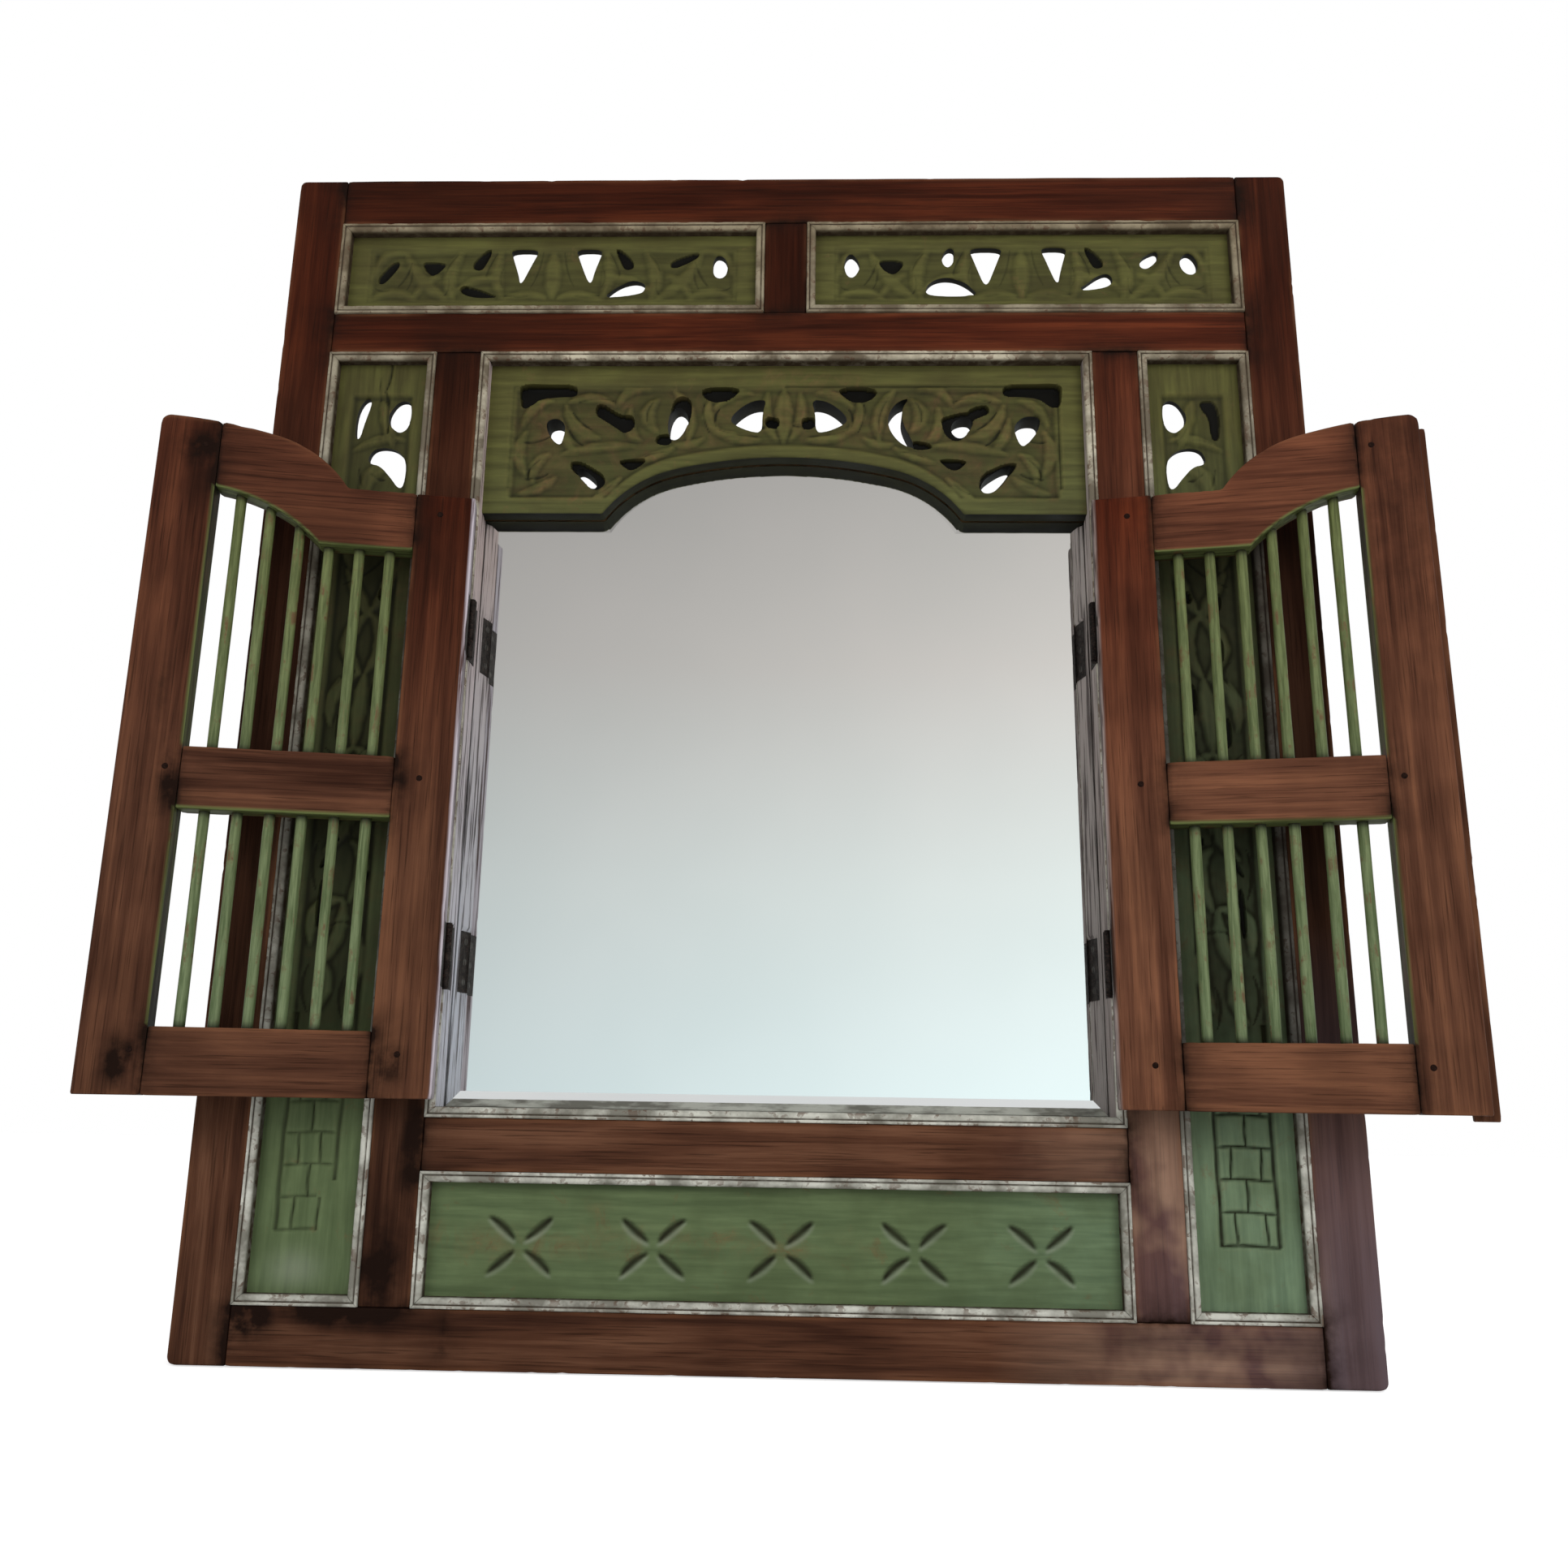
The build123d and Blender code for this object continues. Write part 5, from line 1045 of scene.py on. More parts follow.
# on the right and on the left board: depth of the upright grooves and of the level ones, where the two long
# upright grooves end, where each level groove begins, and the short upright grooves of each course
brick_layout = {
    1: (1.4, 1.25, (97, 97), [brick_near] * 7, ((350, 373), (360,), (349, 372), (361,), (350, 373), (360,))),
    -1: (1.0, 0.7, (133, 97), [349.5, 352] + [brick_near] * 5,
         ((369, 349.5), (359,), (369, 352), (360,), (350, 371), (360,)))}
split_cuts = [((-352.5, 843), (-350, 826), (-356, 808), 4.6), ((-356, 810), (-352, 800), (-351, 768), 4.2),
              ((-362, 826), (-361, 812), (-360, 800), 2.6)]


def column_relief(side):
    """Depth of a side panel's carving: leaves in a sunk field above, courses of bricks cut in with plain
    grooves below, and on the left board a split that runs down from its top."""
    firm, faint, ends, starts, joints = brick_layout[side]

    def groove(line, width, strength, broad, where):
        return strength * np.clip(broad - np.abs(line) / width, 0, 1) * where

    def depth(x, z):
        out = np.abs(x)
        edge = np.minimum(np.minimum(out - field_near, field_far - out),
                          np.minimum(field_top - z, z - field_foot))
        ground = 2.4 * smooth_step(edge / 3)
        field = softened(np.clip(ground - leaves(out, z, column_blades, 2.3), 0, None), 1)
        field += cuts(out, z, column_strokes, 1.3)
        wander = 0.8 * np.sin(z / 17 + side) + 0.5 * np.sin(z / 6.3)
        bricks = np.zeros(x.shape)
        for line, foot in zip((brick_near, brick_far), ends):
            bricks = np.maximum(bricks, groove(out - line - wander * 0.4, 1.9, firm, 1.4,
                                               (z > foot) & (z < brick_top)))
        for level, start in zip(brick_levels, starts):
            bricks = np.maximum(bricks, groove(z - level - 0.7 * np.sin(out / 9), 1.6, faint, 1.2,
                                               (out > start) & (out < brick_far + 0.5)))
        for level, row in zip(brick_levels, joints):
            for joint in row:
                bricks = np.maximum(bricks, groove(out - joint - 0.5 * np.sin(z / 5), 1.6, firm, 1.1,
                                                   (z > level) & (z < level + brick_high)))
        return field + 1.5 * bricks + (cuts(x, z, split_cuts, 2.2) if side < 0 else 0)
    return depth


def column_ageing(side):
    """Rubbing, painted shade and fading of a side panel: a painted shadow and more rubbing behind the
    shutter's bars, painted shade over the left one above its foot, a pale patch at the left one's foot, and
    painted light at the right one's foot."""
    def ageing(x, z):
        out = np.abs(x)
        # painted shadow of the shutter's bars
        behind = smooth_step((z - 205) / 60) * smooth_step((715 - z) / 60)
        pale = np.exp(-((out - 364) / 20) ** 2 - ((z - 68) / 13) ** 2) * (side < 0)
        lower = smooth_step((260 - z) / 80)
        # painted shade over the left board above its foot
        dusk = 0.12 * (1 - lower) if side < 0 else 0.0
        # painted light at the right board's foot
        return 0.3 * behind, np.maximum(0.45 * behind, dusk), 0.42 * pale + (0.07 * lower if side > 0 else 0)
    return ageing


for hand, side in (("left", -1), ("right", 1)):
    holes = [drop_hole, moon_hole] + ([lean_slot] if side < 0 else [])
    dark = column_dark + ([bent_slot] if side > 0 else [])
    if side < 0:
        holes, dark = [mirrored(outline) for outline in holes], [mirrored(outline) for outline in dark]
    carved_board(f"side_panel_{hand}", f"panel_column_{hand}", panel_edges(f"column_{hand}"), 1.28,
                 panel_face, panel_back, column_relief(side), holes, green_upright, 81 + side, blind=dark,
                 ageing=column_ageing(side))

cross_middles, cross_height = (-192, -90, 7, 108, 203), 88


def bottom_relief(x, z):
    """Depth of the foot panel: five crosses, each of four curved gouge cuts that stop short of its middle."""
    strokes = []
    for place, middle in enumerate(cross_middles):
        for across, up in ((1, 1), (-1, 1), (-1, -1), (1, -1)):
            bow = 2.5 * (1 if (place + across) % 2 else -1)
            strokes.append(((middle + across * 4, cross_height + up * 4),
                            (middle + across * 14 + bow, cross_height + up * 12 + 1.5),
                            (middle + across * 24, cross_height + up * 20.5), 8))
    return softened(np.sqrt(cuts(x, z, strokes, 1.0) / 2.1) * 2.3, 1)


def bottom_ageing(x, z):
    """Rubbing, painted shade and painted light of the foot panel: a band of wear along its middle, where it
    is dusted, painted shade on the upper slope of its cuts, and a painted highlight on their lower slope."""
    band = np.exp(-((z - 91) / 11) ** 2) * smooth_step((110 - x) / 120)
    rubbed = 0.5 * band + 0.35 * np.exp(-((x + 140) / 22) ** 2 - ((z - 118) / 6) ** 2)
    # painted highlight on the lower slopes and painted shade on the upper slopes of the cuts
    painted_light_lower_slope = np.clip(bottom_relief(x, z + 1.6) - bottom_relief(x, z - 1.2), 0, 1)
    painted_shade_upper_slope = np.clip(bottom_relief(x, z - 1.5) / 2, 0, 1) * (bottom_relief(x, z) > 0.15)
    return rubbed, 0.6 * painted_shade_upper_slope, 0.5 * painted_light_lower_slope


carved_board("foot_panel", "panel_bottom", panel_edges("bottom"), 1.15, panel_face, panel_back,
             bottom_relief, [], green_level, 91, ageing=bottom_ageing)


# Arch board. A thick board over the glass, its lower edge sawn to the arch and cleaned up with a spokeshave,
# pierced and carved like the panels and painted with them. It is rebated behind for the glass.

arch_face, arch_back, glass_front = -28, -3, -13
arch_foot = 693
crown_middle, crown_radius = 347, 400
flank_radius = 106.4
flank_middle = (69.73, 632.18)


def arch_line(x, gap=0.0):
    """Height of the arch's edge over a place: the crown's large circle in the middle, a smaller circle on
    each flank that touches the crown's from inside, and the straight shoulder beyond."""
    out = np.abs(np.asarray(x, float))
    crown = crown_middle + np.sqrt(np.clip((crown_radius + gap) ** 2 - out ** 2, 0, None))
    flank_rise = (flank_radius + gap) ** 2 - (out - flank_middle[0]) ** 2
    flank = flank_middle[1] + np.sqrt(np.clip(flank_rise, 0, None))
    join = (crown_radius + gap) * flank_middle[0] / (crown_radius - flank_radius)
    line = np.where(out < join, crown, flank)
    return np.maximum(np.where(out < flank_middle[0] + flank_radius + gap, line, 0), arch_foot + gap)


def arch_shape(gap, reach, foot):
    """Closed outline of the arch's opening, down to a foot below the board."""
    across = np.linspace(-reach, reach, 161)
    line = arch_line(across, gap)
    return np.concatenate([np.stack([across, line], -1), [(reach, foot), (-reach, foot)]])


leaf_hole = [(21, 804), (34, 803), (46, 795), (54, 785), (50, 779), (34, 772), (25, 772), (25, 790)]
notch_hole = [(45, 815), (84, 815), (80, 804), (66, 799), (54, 804)]
sickle_hole = [(112, 806), (100, 802), (92, 790), (92, 777), (99, 765), (108, 758), (116, 757), (112, 766),
               (107, 776), (104, 786), (105, 797)]
sickle_tail = [(112, 764), (127, 762), (132, 756), (118, 754), (112, 757)]
tear_hole = [(83, 803), (90, 807), (99, 803), (102, 790), (103, 776), (101, 764), (94, 764), (87, 775),
             (82, 788)]
tear_tail = [(100, 771), (113, 769), (115, 761), (104, 758), (99, 762)]
barb_hole = [(138, 785), (146, 788), (156, 791), (165, 792), (165, 780), (161, 768), (152, 762), (143, 767),
             (139, 776)]
barb_tail = [(160, 790), (166, 796), (180, 799), (182, 790), (170, 785), (162, 781)]
bar_hole = [(177, 797), (171, 800), (162, 794), (153, 788), (142, 788), (140, 776), (148, 769), (158, 776),
            (168, 783), (176, 788)]
corner_hole = [(193, 806), (193, 817), (215, 817), (245, 818), (245, 807), (243, 794), (234, 796),
               (226, 804), (210, 806)]
drop_low = [(202, 774), (208, 757), (215, 762), (224, 774), (226, 787), (212, 788), (204, 781)]
fang_hole = [(134, 747), (163, 745), (156, 738), (150, 734), (142, 738)]
slash_hole = [(204, 743), (194, 742), (182, 737), (172, 730), (170, 720), (173, 714), (180, 713), (189, 719),
              (195, 728), (203, 737)]
left_slash = [(189, 743), (180, 744), (168, 737), (158, 730), (156, 722), (163, 715), (171, 718), (180, 729),
              (188, 736)]
nook_hole = [(16, 785), (27, 787), (30, 779), (22, 773), (15, 777)]
arch_blades = [
    ((0, 762), (0, 788), (0, 812), 18), ((6, 764), (20, 782), (14, 810), 11),
    ((20, 764), (42, 762), (66, 776), 10), ((28, 809), (46, 812), (62, 794), 8),
    ((56, 770), (72, 784), (66, 801), 11), ((84, 764), (78, 790), (98, 812), 13),
    ((112, 772), (130, 788), (112, 803), 15), ((118, 812), (142, 818), (148, 796), 9),
    ((126, 764), (140, 766), (136, 796), 11), ((150, 797), (170, 812), (192, 800), 9),
    ((163, 766), (186, 768), (194, 798), 14), ((132, 758), (160, 760), (196, 750), 10),
    ((182, 752), (196, 762), (198, 784), 10), ((206, 802), (226, 800), (232, 776), 10),
    ((228, 772), (240, 750), (226, 730), 12), ((206, 750), (222, 744), (220, 722), 11),
    ((200, 728), (210, 716), (232, 712), 10), ((142, 728), (156, 712), (166, 706), 9),
    ((96, 757), (110, 748), (132, 742), 8), ((70, 766), (84, 756), (96, 760), 8)]
arch_strokes = [
    ((8, 778), (12, 776), (22, 776), 5), ((60, 776), (63, 788), (57, 794), 4),
    ((66, 772), (74, 790), (70, 800), 3), ((116, 800), (124, 790), (120, 778), 3),
    ((170, 774), (182, 780), (188, 792), 4), ((206, 768), (218, 760), (232, 762), 4),
    ((214, 744), (226, 736), (224, 726), 4), ((176, 758), (186, 764), (190, 774), 4),
    ((100, 752), (116, 752), (124, 746), 3), ((148, 722), (156, 714), (162, 712), 3),
    ((206, 732), (214, 726), (228, 726), 4), ((152, 802), (168, 806), (184, 800), 3),
    ((20, 768), (40, 766), (58, 774), 3), ((84, 772), (82, 786), (90, 800), 3)]


carved_half, carved_top, carved_foot = 241, 815, 706


def arch_relief(x, z):
    """Depth of the arch board's carving: a field sunk inside a plain border that follows the arch."""
    out = np.abs(x)
    border = np.minimum(carved_half - out, carved_top - z)
    edge = np.minimum(border, z - np.maximum(arch_line(x) + 9, carved_foot))
    ground = 2.8 * smooth_step(edge / 4)
    line = (1.0 + 0.8 * (x > 0)) * np.exp(-(border / 1.4) ** 2) * (z > carved_foot + 10)
    line *= out < carved_half + 2
    field = softened(np.clip(ground - leaves(out, z, arch_blades, 2.3), 0, None), 1)
    lip = 0.9 * np.exp(-np.clip(z - arch_line(x), 0, None) / 1.3)
    return field + line + cuts(out, z, arch_strokes, 1.8) + lip


def arch_ageing(x, z):
    """Rubbing, shade and fading of the arch board: the carved field is rubbed, and so is a stretch of its
    plain top, right of the middle."""
    field = (smooth_step((carved_half - np.abs(x)) / 6) * smooth_step((carved_top - z) / 6)
             * smooth_step((z - arch_line(x) - 9) / 6))
    return 0.8 * np.exp(-((x - 10) / 45) ** 2 - ((z - 822) / 10) ** 2) + 0.6 * field, 0 * x, 0 * x


def on_left(outline, nearer=9):
    """The outline on the left of the board, which the carver set out a little nearer to the middle."""
    return [(nearer - across, up) for across, up in outline]


barb_cut = [(147, 775), (149, 785), (158, 789), (166, 788), (167, 780), (162, 771), (154, 768)]
slash_cut = [(201, 742), (193, 741), (182, 734), (175, 728), (172, 721), (175, 716), (181, 715), (188, 721),
             (195, 730)]
tear_cut = [(84, 786), (88, 797), (95, 800), (101, 792), (103, 778), (101, 767), (95, 766), (87, 775)]
near_slash = [(184, 738), (178, 740), (170, 734), (164, 727), (164, 720), (171, 720), (179, 729)]
near_drop = [(193, 774), (196, 759), (203, 762), (210, 773), (211, 783), (202, 786), (195, 781)]
arch_open = [
    [(x + 3, z) for x, z in leaf_hole], sickle_hole, barb_cut, drop_low, slash_cut, on_left(leaf_hole, 6),
    on_left(tear_cut, 0), on_left(near_drop, 0), on_left(near_slash, 0)]
arch_dark = [
    notch_hole, corner_hole, fang_hole, nook_hole, sickle_tail, barb_tail, barb_hole, slash_hole,
    on_left(notch_hole), on_left(corner_hole), on_left(fang_hole, 16), on_left(bar_hole),
    on_left(nook_hole, 12), on_left(tear_tail, 1), on_left(tear_hole, 1), on_left(left_slash, 1)]
arch_left, arch_right, _, arch_top = panel_edges("mirror")
below = arch_foot - 20
carved_board("arch_board_carved", "arch_board", (arch_left, arch_right, arch_foot, arch_top), 1.2, arch_face,
             arch_back, arch_relief, arch_open, green_level, 95, blind=arch_dark, blind_depth=9,
             outside=arch_shape(0.0, 158.5, below), rebate=(arch_shape(8.3, 300, below), glass_front),
             ageing=arch_ageing)


# Looking glass and what holds it. Silvered plate glass with a wide ground bevel, an unpainted plywood back,
# small bare wood cleats turned over its edge, and bare beads nailed behind the panels.

def looking_glass(name):
    """Silvered glass: a clear bright reflection, very slightly uneven and dusty."""
    material, tree, shader, where = finish(name)
    dust = speckle(tree, where, 9, 5, 0.6)
    tree.links.new(ramp(tree, dust, (0.3, 0.012), (0.75, 0.04)), shader.inputs["Roughness"])
    tint = ramp(tree, speckle(tree, where, 5, 3, 0.5),
                (0.3, paint(243, 247, 247)), (0.7, paint(250, 252, 252)))
    tree.links.new(tint, shader.inputs["Base Color"])
    shader.inputs["Metallic"].default_value = 1.0
    return material


def bare_wood(name, pale, dark, scale, grain, rough):
    """Unpainted wood: two tones in streaks along the grain, with grey dust in patches."""
    material, tree, shader, where = finish(name)
    streaks = speckle(tree, stretched(tree, where, grain), scale, 5, 0.65, 0.3)
    dust = speckle(tree, where, 17, 4, 0.6)
    colour = ramp(tree, streaks, (0.34, dark), (0.66, pale))
    colour = mixed(tree, ramp(tree, dust, (0.45, 0.0), (0.75, 0.5)), colour, paint(120, 108, 96))
    tree.links.new(colour, shader.inputs["Base Color"])
    tree.links.new(ramp(tree, dust, (0.3, rough - 0.1), (0.7, rough)), shader.inputs["Roughness"])
    shader.inputs["Specular IOR Level"].default_value = 0.3
    bumped(tree, shader, streaks, 0.5 * mm, 0.5)
    return material


def dress(material, *names):
    """Give CAD nodes whose shape is already right their finish."""
    for name in names:
        for slot in nodes[name].material_slots:
            slot.material = material


dress(looking_glass("silvered_glass"), "mirror_glass")
dress(bare_wood("plywood_back", paint(176, 140, 98), paint(128, 94, 60), 160, (1, 1, 0.05), 0.8),
      "backing_board")
dress(bare_wood("bare_bead_wood", paint(150, 116, 82), paint(98, 70, 46), 190, (0.3, 1, 0.3), 0.8),
      *(name for name in nodes if name.startswith("retaining_")))


# Hardware. Butt hinges, their pins and the hanging plates are dark wrought iron with a little brown rust;
# the screws are dull steel with one slot, turned in by hand.

def old_metal(name, dark, bright, rust, share, rough):
    """Old metal: dark skin, brighter where it is rubbed, rust in flecks."""
    material, tree, shader, where = finish(name)
    cloud = speckle(tree, where, 160, 5, 0.65)
    flecks = speckle(tree, where, 700, 4, 0.7)
    colour = ramp(tree, cloud, (0.35, dark), (0.7, bright))
    rusty = ramp(tree, flecks, (0.5, 0.0), (0.68, share))
    colour = mixed(tree, rusty, colour, rust)
    tree.links.new(colour, shader.inputs["Base Color"])
    tree.links.new(ramp(tree, cloud, (0.3, rough + 0.15), (0.7, rough)), shader.inputs["Roughness"])
    tree.links.new(ramp(tree, flecks, (0.5, 0.85), (0.68, 0.35)), shader.inputs["Metallic"])
    bumped(tree, shader, arithmetic(tree, "ADD", cloud, flecks), 0.15 * mm, 0.5)
    return material


iron = old_metal("wrought_iron", paint(26, 22, 21), paint(58, 52, 49), paint(70, 42, 28), 0.7, 0.5)
steel = old_metal("dull_steel", paint(58, 54, 51), paint(100, 96, 91), paint(76, 50, 34), 0.6, 0.42)
dress(iron, "hanging_plates", *(name for name in nodes if name.endswith(("_plates", "_pins"))))
dress(steel, *(name for name in nodes if name.endswith("_screws")))


# Shutters. Each is a joined frame of two stiles and three rails, the top rail and the meeting stile cut to
# the arch, finished like the outer frame but a little lighter. They stand open on their hinges, ten
# degrees off the frame's plane. The edges that face the bars were painted green with them.

lean = radians(10)
pin_out, pin_front = 260.5 * mm, -41.5 * mm
leaf_near, leaf_far = 1.5 * mm, 259 * mm
leaf_back, leaf_front = 3.5 * mm, 23.5 * mm
stile_edge, meeting_edge = 49.5 * mm, 211 * mm
leaf_foot, leaf_shoulder = 195 * mm, 689 * mm
leaf_rails = {"bottom": (195 * mm, 245 * mm), "mid": (411 * mm, 461 * mm)}
corner_round = 8 * mm
arch_clear = 4
rail_base, rail_deep, kink, arc_radius = 638 * mm, 58 * mm, 124.6 * mm, 144 * mm


def leaf_axes(side):
    """Where an open shutter's measures start, on its pin, and the directions out along it and to its face."""
    return ((side * pin_out, pin_front, 0), (side * cos(lean), -sin(lean), 0),
            (-side * sin(lean), -cos(lean), 0))


def leaf_top(u):
    """Height of a shutter's top edge at a distance from its pin: the arch line less a clearance, and a
    rounded corner at the far end."""
    line = arch_line((pin_out - u) / mm, -arch_clear) * mm
    into = np.clip(u - (leaf_far - corner_round), 0, corner_round)
    return line - (corner_round - np.sqrt(corner_round ** 2 - into ** 2))


def rail_underside(u):
    """Height of the top rail's lower edge: straight, then one arc up to the meeting stile."""
    end_height = leaf_top(meeting_edge) - rail_deep
    run, climb = meeting_edge - kink, end_height - rail_base
    chord = sqrt(run ** 2 + climb ** 2)
    rise = sqrt(arc_radius ** 2 - chord ** 2 / 4)
    middle_u = (kink + meeting_edge) / 2 + climb / chord * rise
    middle_z = (rail_base + end_height) / 2 - run / chord * rise
    arc = middle_z + np.sqrt(np.clip(arc_radius ** 2 - (u - middle_u) ** 2, 0, None))
    return np.where(u <= kink, rail_base, arc)


bar_spans = [(leaf_rails["bottom"][1], leaf_rails["mid"][0]),
             (leaf_rails["mid"][1], float(rail_underside(meeting_edge)))]
# painted light: the shutters' stain at the foot, and darker and redder at the top
shutter_low = (paint(60, 35, 25), paint(88, 56, 41), paint(114, 75, 54))
shutter_high = (paint(43, 13, 6), paint(69, 26, 13), paint(93, 41, 22))
leaf_woods = {}
for hand, side in (("left", -1), ("right", 1)):
    for member, grain, reddest in (("hinge_side", "up", 0.68),
                                   ("meeting_side", "up", 0.9 if side < 0 else 1.15),
                                   ("rails", "across", 1.15)):
        leaf_woods[side, member] = stained_wood(
            f"shutter_wood_{hand}_{member}", grain, side * 10, shutter_low, shutter_high, seed=5.2 + side,
            reddest=reddest)
rail_middles = {label: (low + high) / 2 for label, (low, high) in leaf_rails.items()}
head_middle = float(leaf_top(meeting_edge)) - 24 * mm
hinge_reach, hinge_sunk = 22.8 * mm, 1.65 * mm
strip_near, strip_far, strip_thick, strip_gap = 251 * mm, 269 * mm, 6 * mm, 0.8 * mm
strip_drop, strip_short = 4.5 * mm, 3 * mm
over_all = 800 * mm
# how light each board is, and its patches of grime, on the left and on the right shutter; the tones are
# partly painted light: the hinge sides darken towards the top, the left one more
rail_light = {"mid": 1.07, "bottom": 0.97}
leaf_light = {-1: {"hinge_side": (0.96, 0.76), "arched": 1.0, "meeting_side": 1.04},
              1: {"hinge_side": (1.32, 0.98), "arched": 1.02, "meeting_side": 0.9}}
hinge_side_blots = {
    -1: [(rail_middles["bottom"], stile_edge - 13 * mm, 17 * mm, 14 * mm, 1.15),
         (rail_middles["mid"], stile_edge - 6 * mm, 24 * mm, 9 * mm, 0.9)],
    1: []}
meeting_side_blots = {
    -1: [(meeting_edge + 15 * mm, rail_middles["bottom"], 16 * mm, 19 * mm, 1.4),
         (meeting_edge + 7 * mm, rail_middles["mid"], 9 * mm, 28 * mm, 1.15),
         (meeting_edge + 14 * mm, head_middle, 20 * mm, 18 * mm, 1.3),
         (meeting_edge + 20 * mm, rail_middles["mid"] + 70 * mm, 5 * mm, 26 * mm, 0.8)],
    1: [(meeting_edge + 26 * mm, 690 * mm, 60 * mm, 150 * mm, 0.42)]}

for hand, side in (("left", -1), ("right", 1)):
    body, light = f"shutter_{hand}", leaf_light[side]
    corner, along, ahead = leaf_axes(side)
    rising, going = ((0, 0, 1), along, ahead), (along, (0, 0, 1), ahead)
    board(f"{body}_hinge_side", body, [f"{body}_hinge_stile"], leaf_woods[side, "hinge_side"],
          "shutter_wood", corner, rising, np.array([leaf_foot, leaf_shoulder]), leaf_near, stile_edge,
          leaf_back, leaf_front, seed=101 + side, tone=light["hinge_side"], dirty=0.85 if side < 0 else 0.55,
          joints=runs_up(stile_edge, *leaf_rails.values(), (rail_base, leaf_shoulder)),
          painted=(1,), painted_runs=bar_spans, greyed=(3,), blots=hinge_side_blots[side],
          edge_pockets=[(z - hinge_half, z + hinge_half, leaf_back - 1 * mm, hinge_reach, hinge_sunk)
                        for z in hinge_heights])
    for place, (label, (low, high)) in enumerate(leaf_rails.items()):
        board(f"{body}_{label}_bar", body, [f"{body}_{label}_rail"], leaf_woods[side, "rails"],
              "shutter_wood", corner, going, np.array([stile_edge, meeting_edge]), low, high, leaf_back,
              leaf_front, seed=111 + 3 * place + side, tone=rail_light[label],
              painted=(1, 3) if label == "mid" else (1,), painted_runs=[(0, 1)],
              joints=[(edge, low, edge, high) for edge in (stile_edge, meeting_edge)])
    places = spaced(stile_edge, meeting_edge, 3 * mm, [kink, stile_edge + 0.4 * mm, meeting_edge - 0.4 * mm])
    board(f"{body}_arched_bar", body, [f"{body}_top_rail"], leaf_woods[side, "rails"], "shutter_wood",
          corner, going, places, rail_underside(places), leaf_top(places), leaf_back, leaf_front,
          seed=121 + side, tone=light["arched"], painted=(3,), painted_runs=[(0, 1)],
          joints=[(stile_edge, rail_base, stile_edge, leaf_shoulder),
                  (meeting_edge, bar_spans[1][1], meeting_edge, over_all)])
    bend = np.sin(np.linspace(0, pi / 2, 10)) * (corner_round - 0.01 * mm)
    straight = spaced(meeting_edge, leaf_far - corner_round, 3 * mm, [meeting_edge + 0.4 * mm])
    places = np.concatenate([straight[:-1], leaf_far - corner_round + bend])
    board(f"{body}_meeting_side", body, [f"{body}_meeting_stile"], leaf_woods[side, "meeting_side"],
          "shutter_wood", corner, going, places, leaf_foot, leaf_top(places), leaf_back, leaf_front,
          seed=131 + side, tone=light["meeting_side"], dirty=0.95 if side < 0 else 0.55,
          painted_runs=bar_spans, blots=meeting_side_blots[side],
          joints=[(meeting_edge, low, meeting_edge, high)
                  for low, high in (*leaf_rails.values(), (bar_spans[1][1], over_all))])
    if side > 0:
        # the strip that laps over the joint once both shutters are shut, relieved where the other one lies
        strip_top = float(leaf_top(leaf_far - corner_round)) - strip_short
        board("joint_cover_strip", body, ["cover_strip"], leaf_woods[side, "meeting_side"], "shutter_wood",
              corner, ((0, 0, 1), along, tuple(-part for part in ahead)),
              np.array([leaf_foot - strip_drop, strip_top]), strip_near, strip_far, -leaf_back,
              strip_thick - leaf_back, seed=141, tone=0.72,
              pockets=[(0.0, 1.0, leaf_far, strip_far + hair, strip_gap)])


# Bars of the shutters. Thin round dowels turned by hand, so each swells and thins a little, let into the
# rails above and below and painted green; the paint has worn off down to brown in long thin streaks.

def painted_bar(name):
    """Green paint on round bars, paler and cooler towards the foot as painted light, worn to brown in long
    thin streaks, and dark with dirt where the bars enter the rails."""
    material, tree, shader, where = finish(name)
    height = node(tree, "ShaderNodeSeparateXYZ", {"Vector": where}).outputs[2]
    streaks = speckle(tree, stretched(tree, where, (1, 1, 0.06)), 420, 5, 0.65, 0.3)
    cloud = speckle(tree, where, 60, 5, 0.65)
    top = ramp(tree, streaks, (0.35, paint(72, 78, 42)), (0.62, paint(104, 112, 66)))
    foot = ramp(tree, streaks, (0.35, paint(78, 94, 60)), (0.62, paint(116, 130, 94)))
    # painted light: paler and cooler towards the foot
    colour = mixed(tree, spread(tree, height, 0.25, 0.68), foot, top)
    bare = product(tree, ramp(tree, cloud, (0.52, 0.0), (0.62, 0.8)),
                   ramp(tree, streaks, (0.48, 0.0), (0.56, 1.0)))
    colour = mixed(tree, bare, colour, paint(98, 66, 46))
    colour = mixed(tree, number(tree, "joint"), colour, paint(24, 20, 12))
    tree.links.new(colour, shader.inputs["Base Color"])
    tree.links.new(ramp(tree, cloud, (0.3, 0.42), (0.7, 0.6)), shader.inputs["Roughness"])
    shader.inputs["Specular IOR Level"].default_value = 0.22
    bumped(tree, shader, streaks, 0.3 * mm, 0.4)
    return material


bar_paint = painted_bar("worn_green_bar_paint")
bar_places = np.linspace(69, 191.5, 6) * mm
bar_depth, bar_radius, bar_let_in = 13.5 * mm, 4.3 * mm, 0.6 * mm
bar_wander, bar_stain = 0.12 * mm, 3 * mm
turn = np.linspace(0, 2 * pi, 22, endpoint=False)


def on_leaf(side, u, z, depth):
    """Points of an open shutter from their distance out along it, their height and their depth."""
    corner, along, ahead = (np.array(axis) for axis in leaf_axes(side))
    points = corner + np.asarray(u)[..., None] * along + np.asarray(depth)[..., None] * ahead
    points[..., 2] = z
    return points


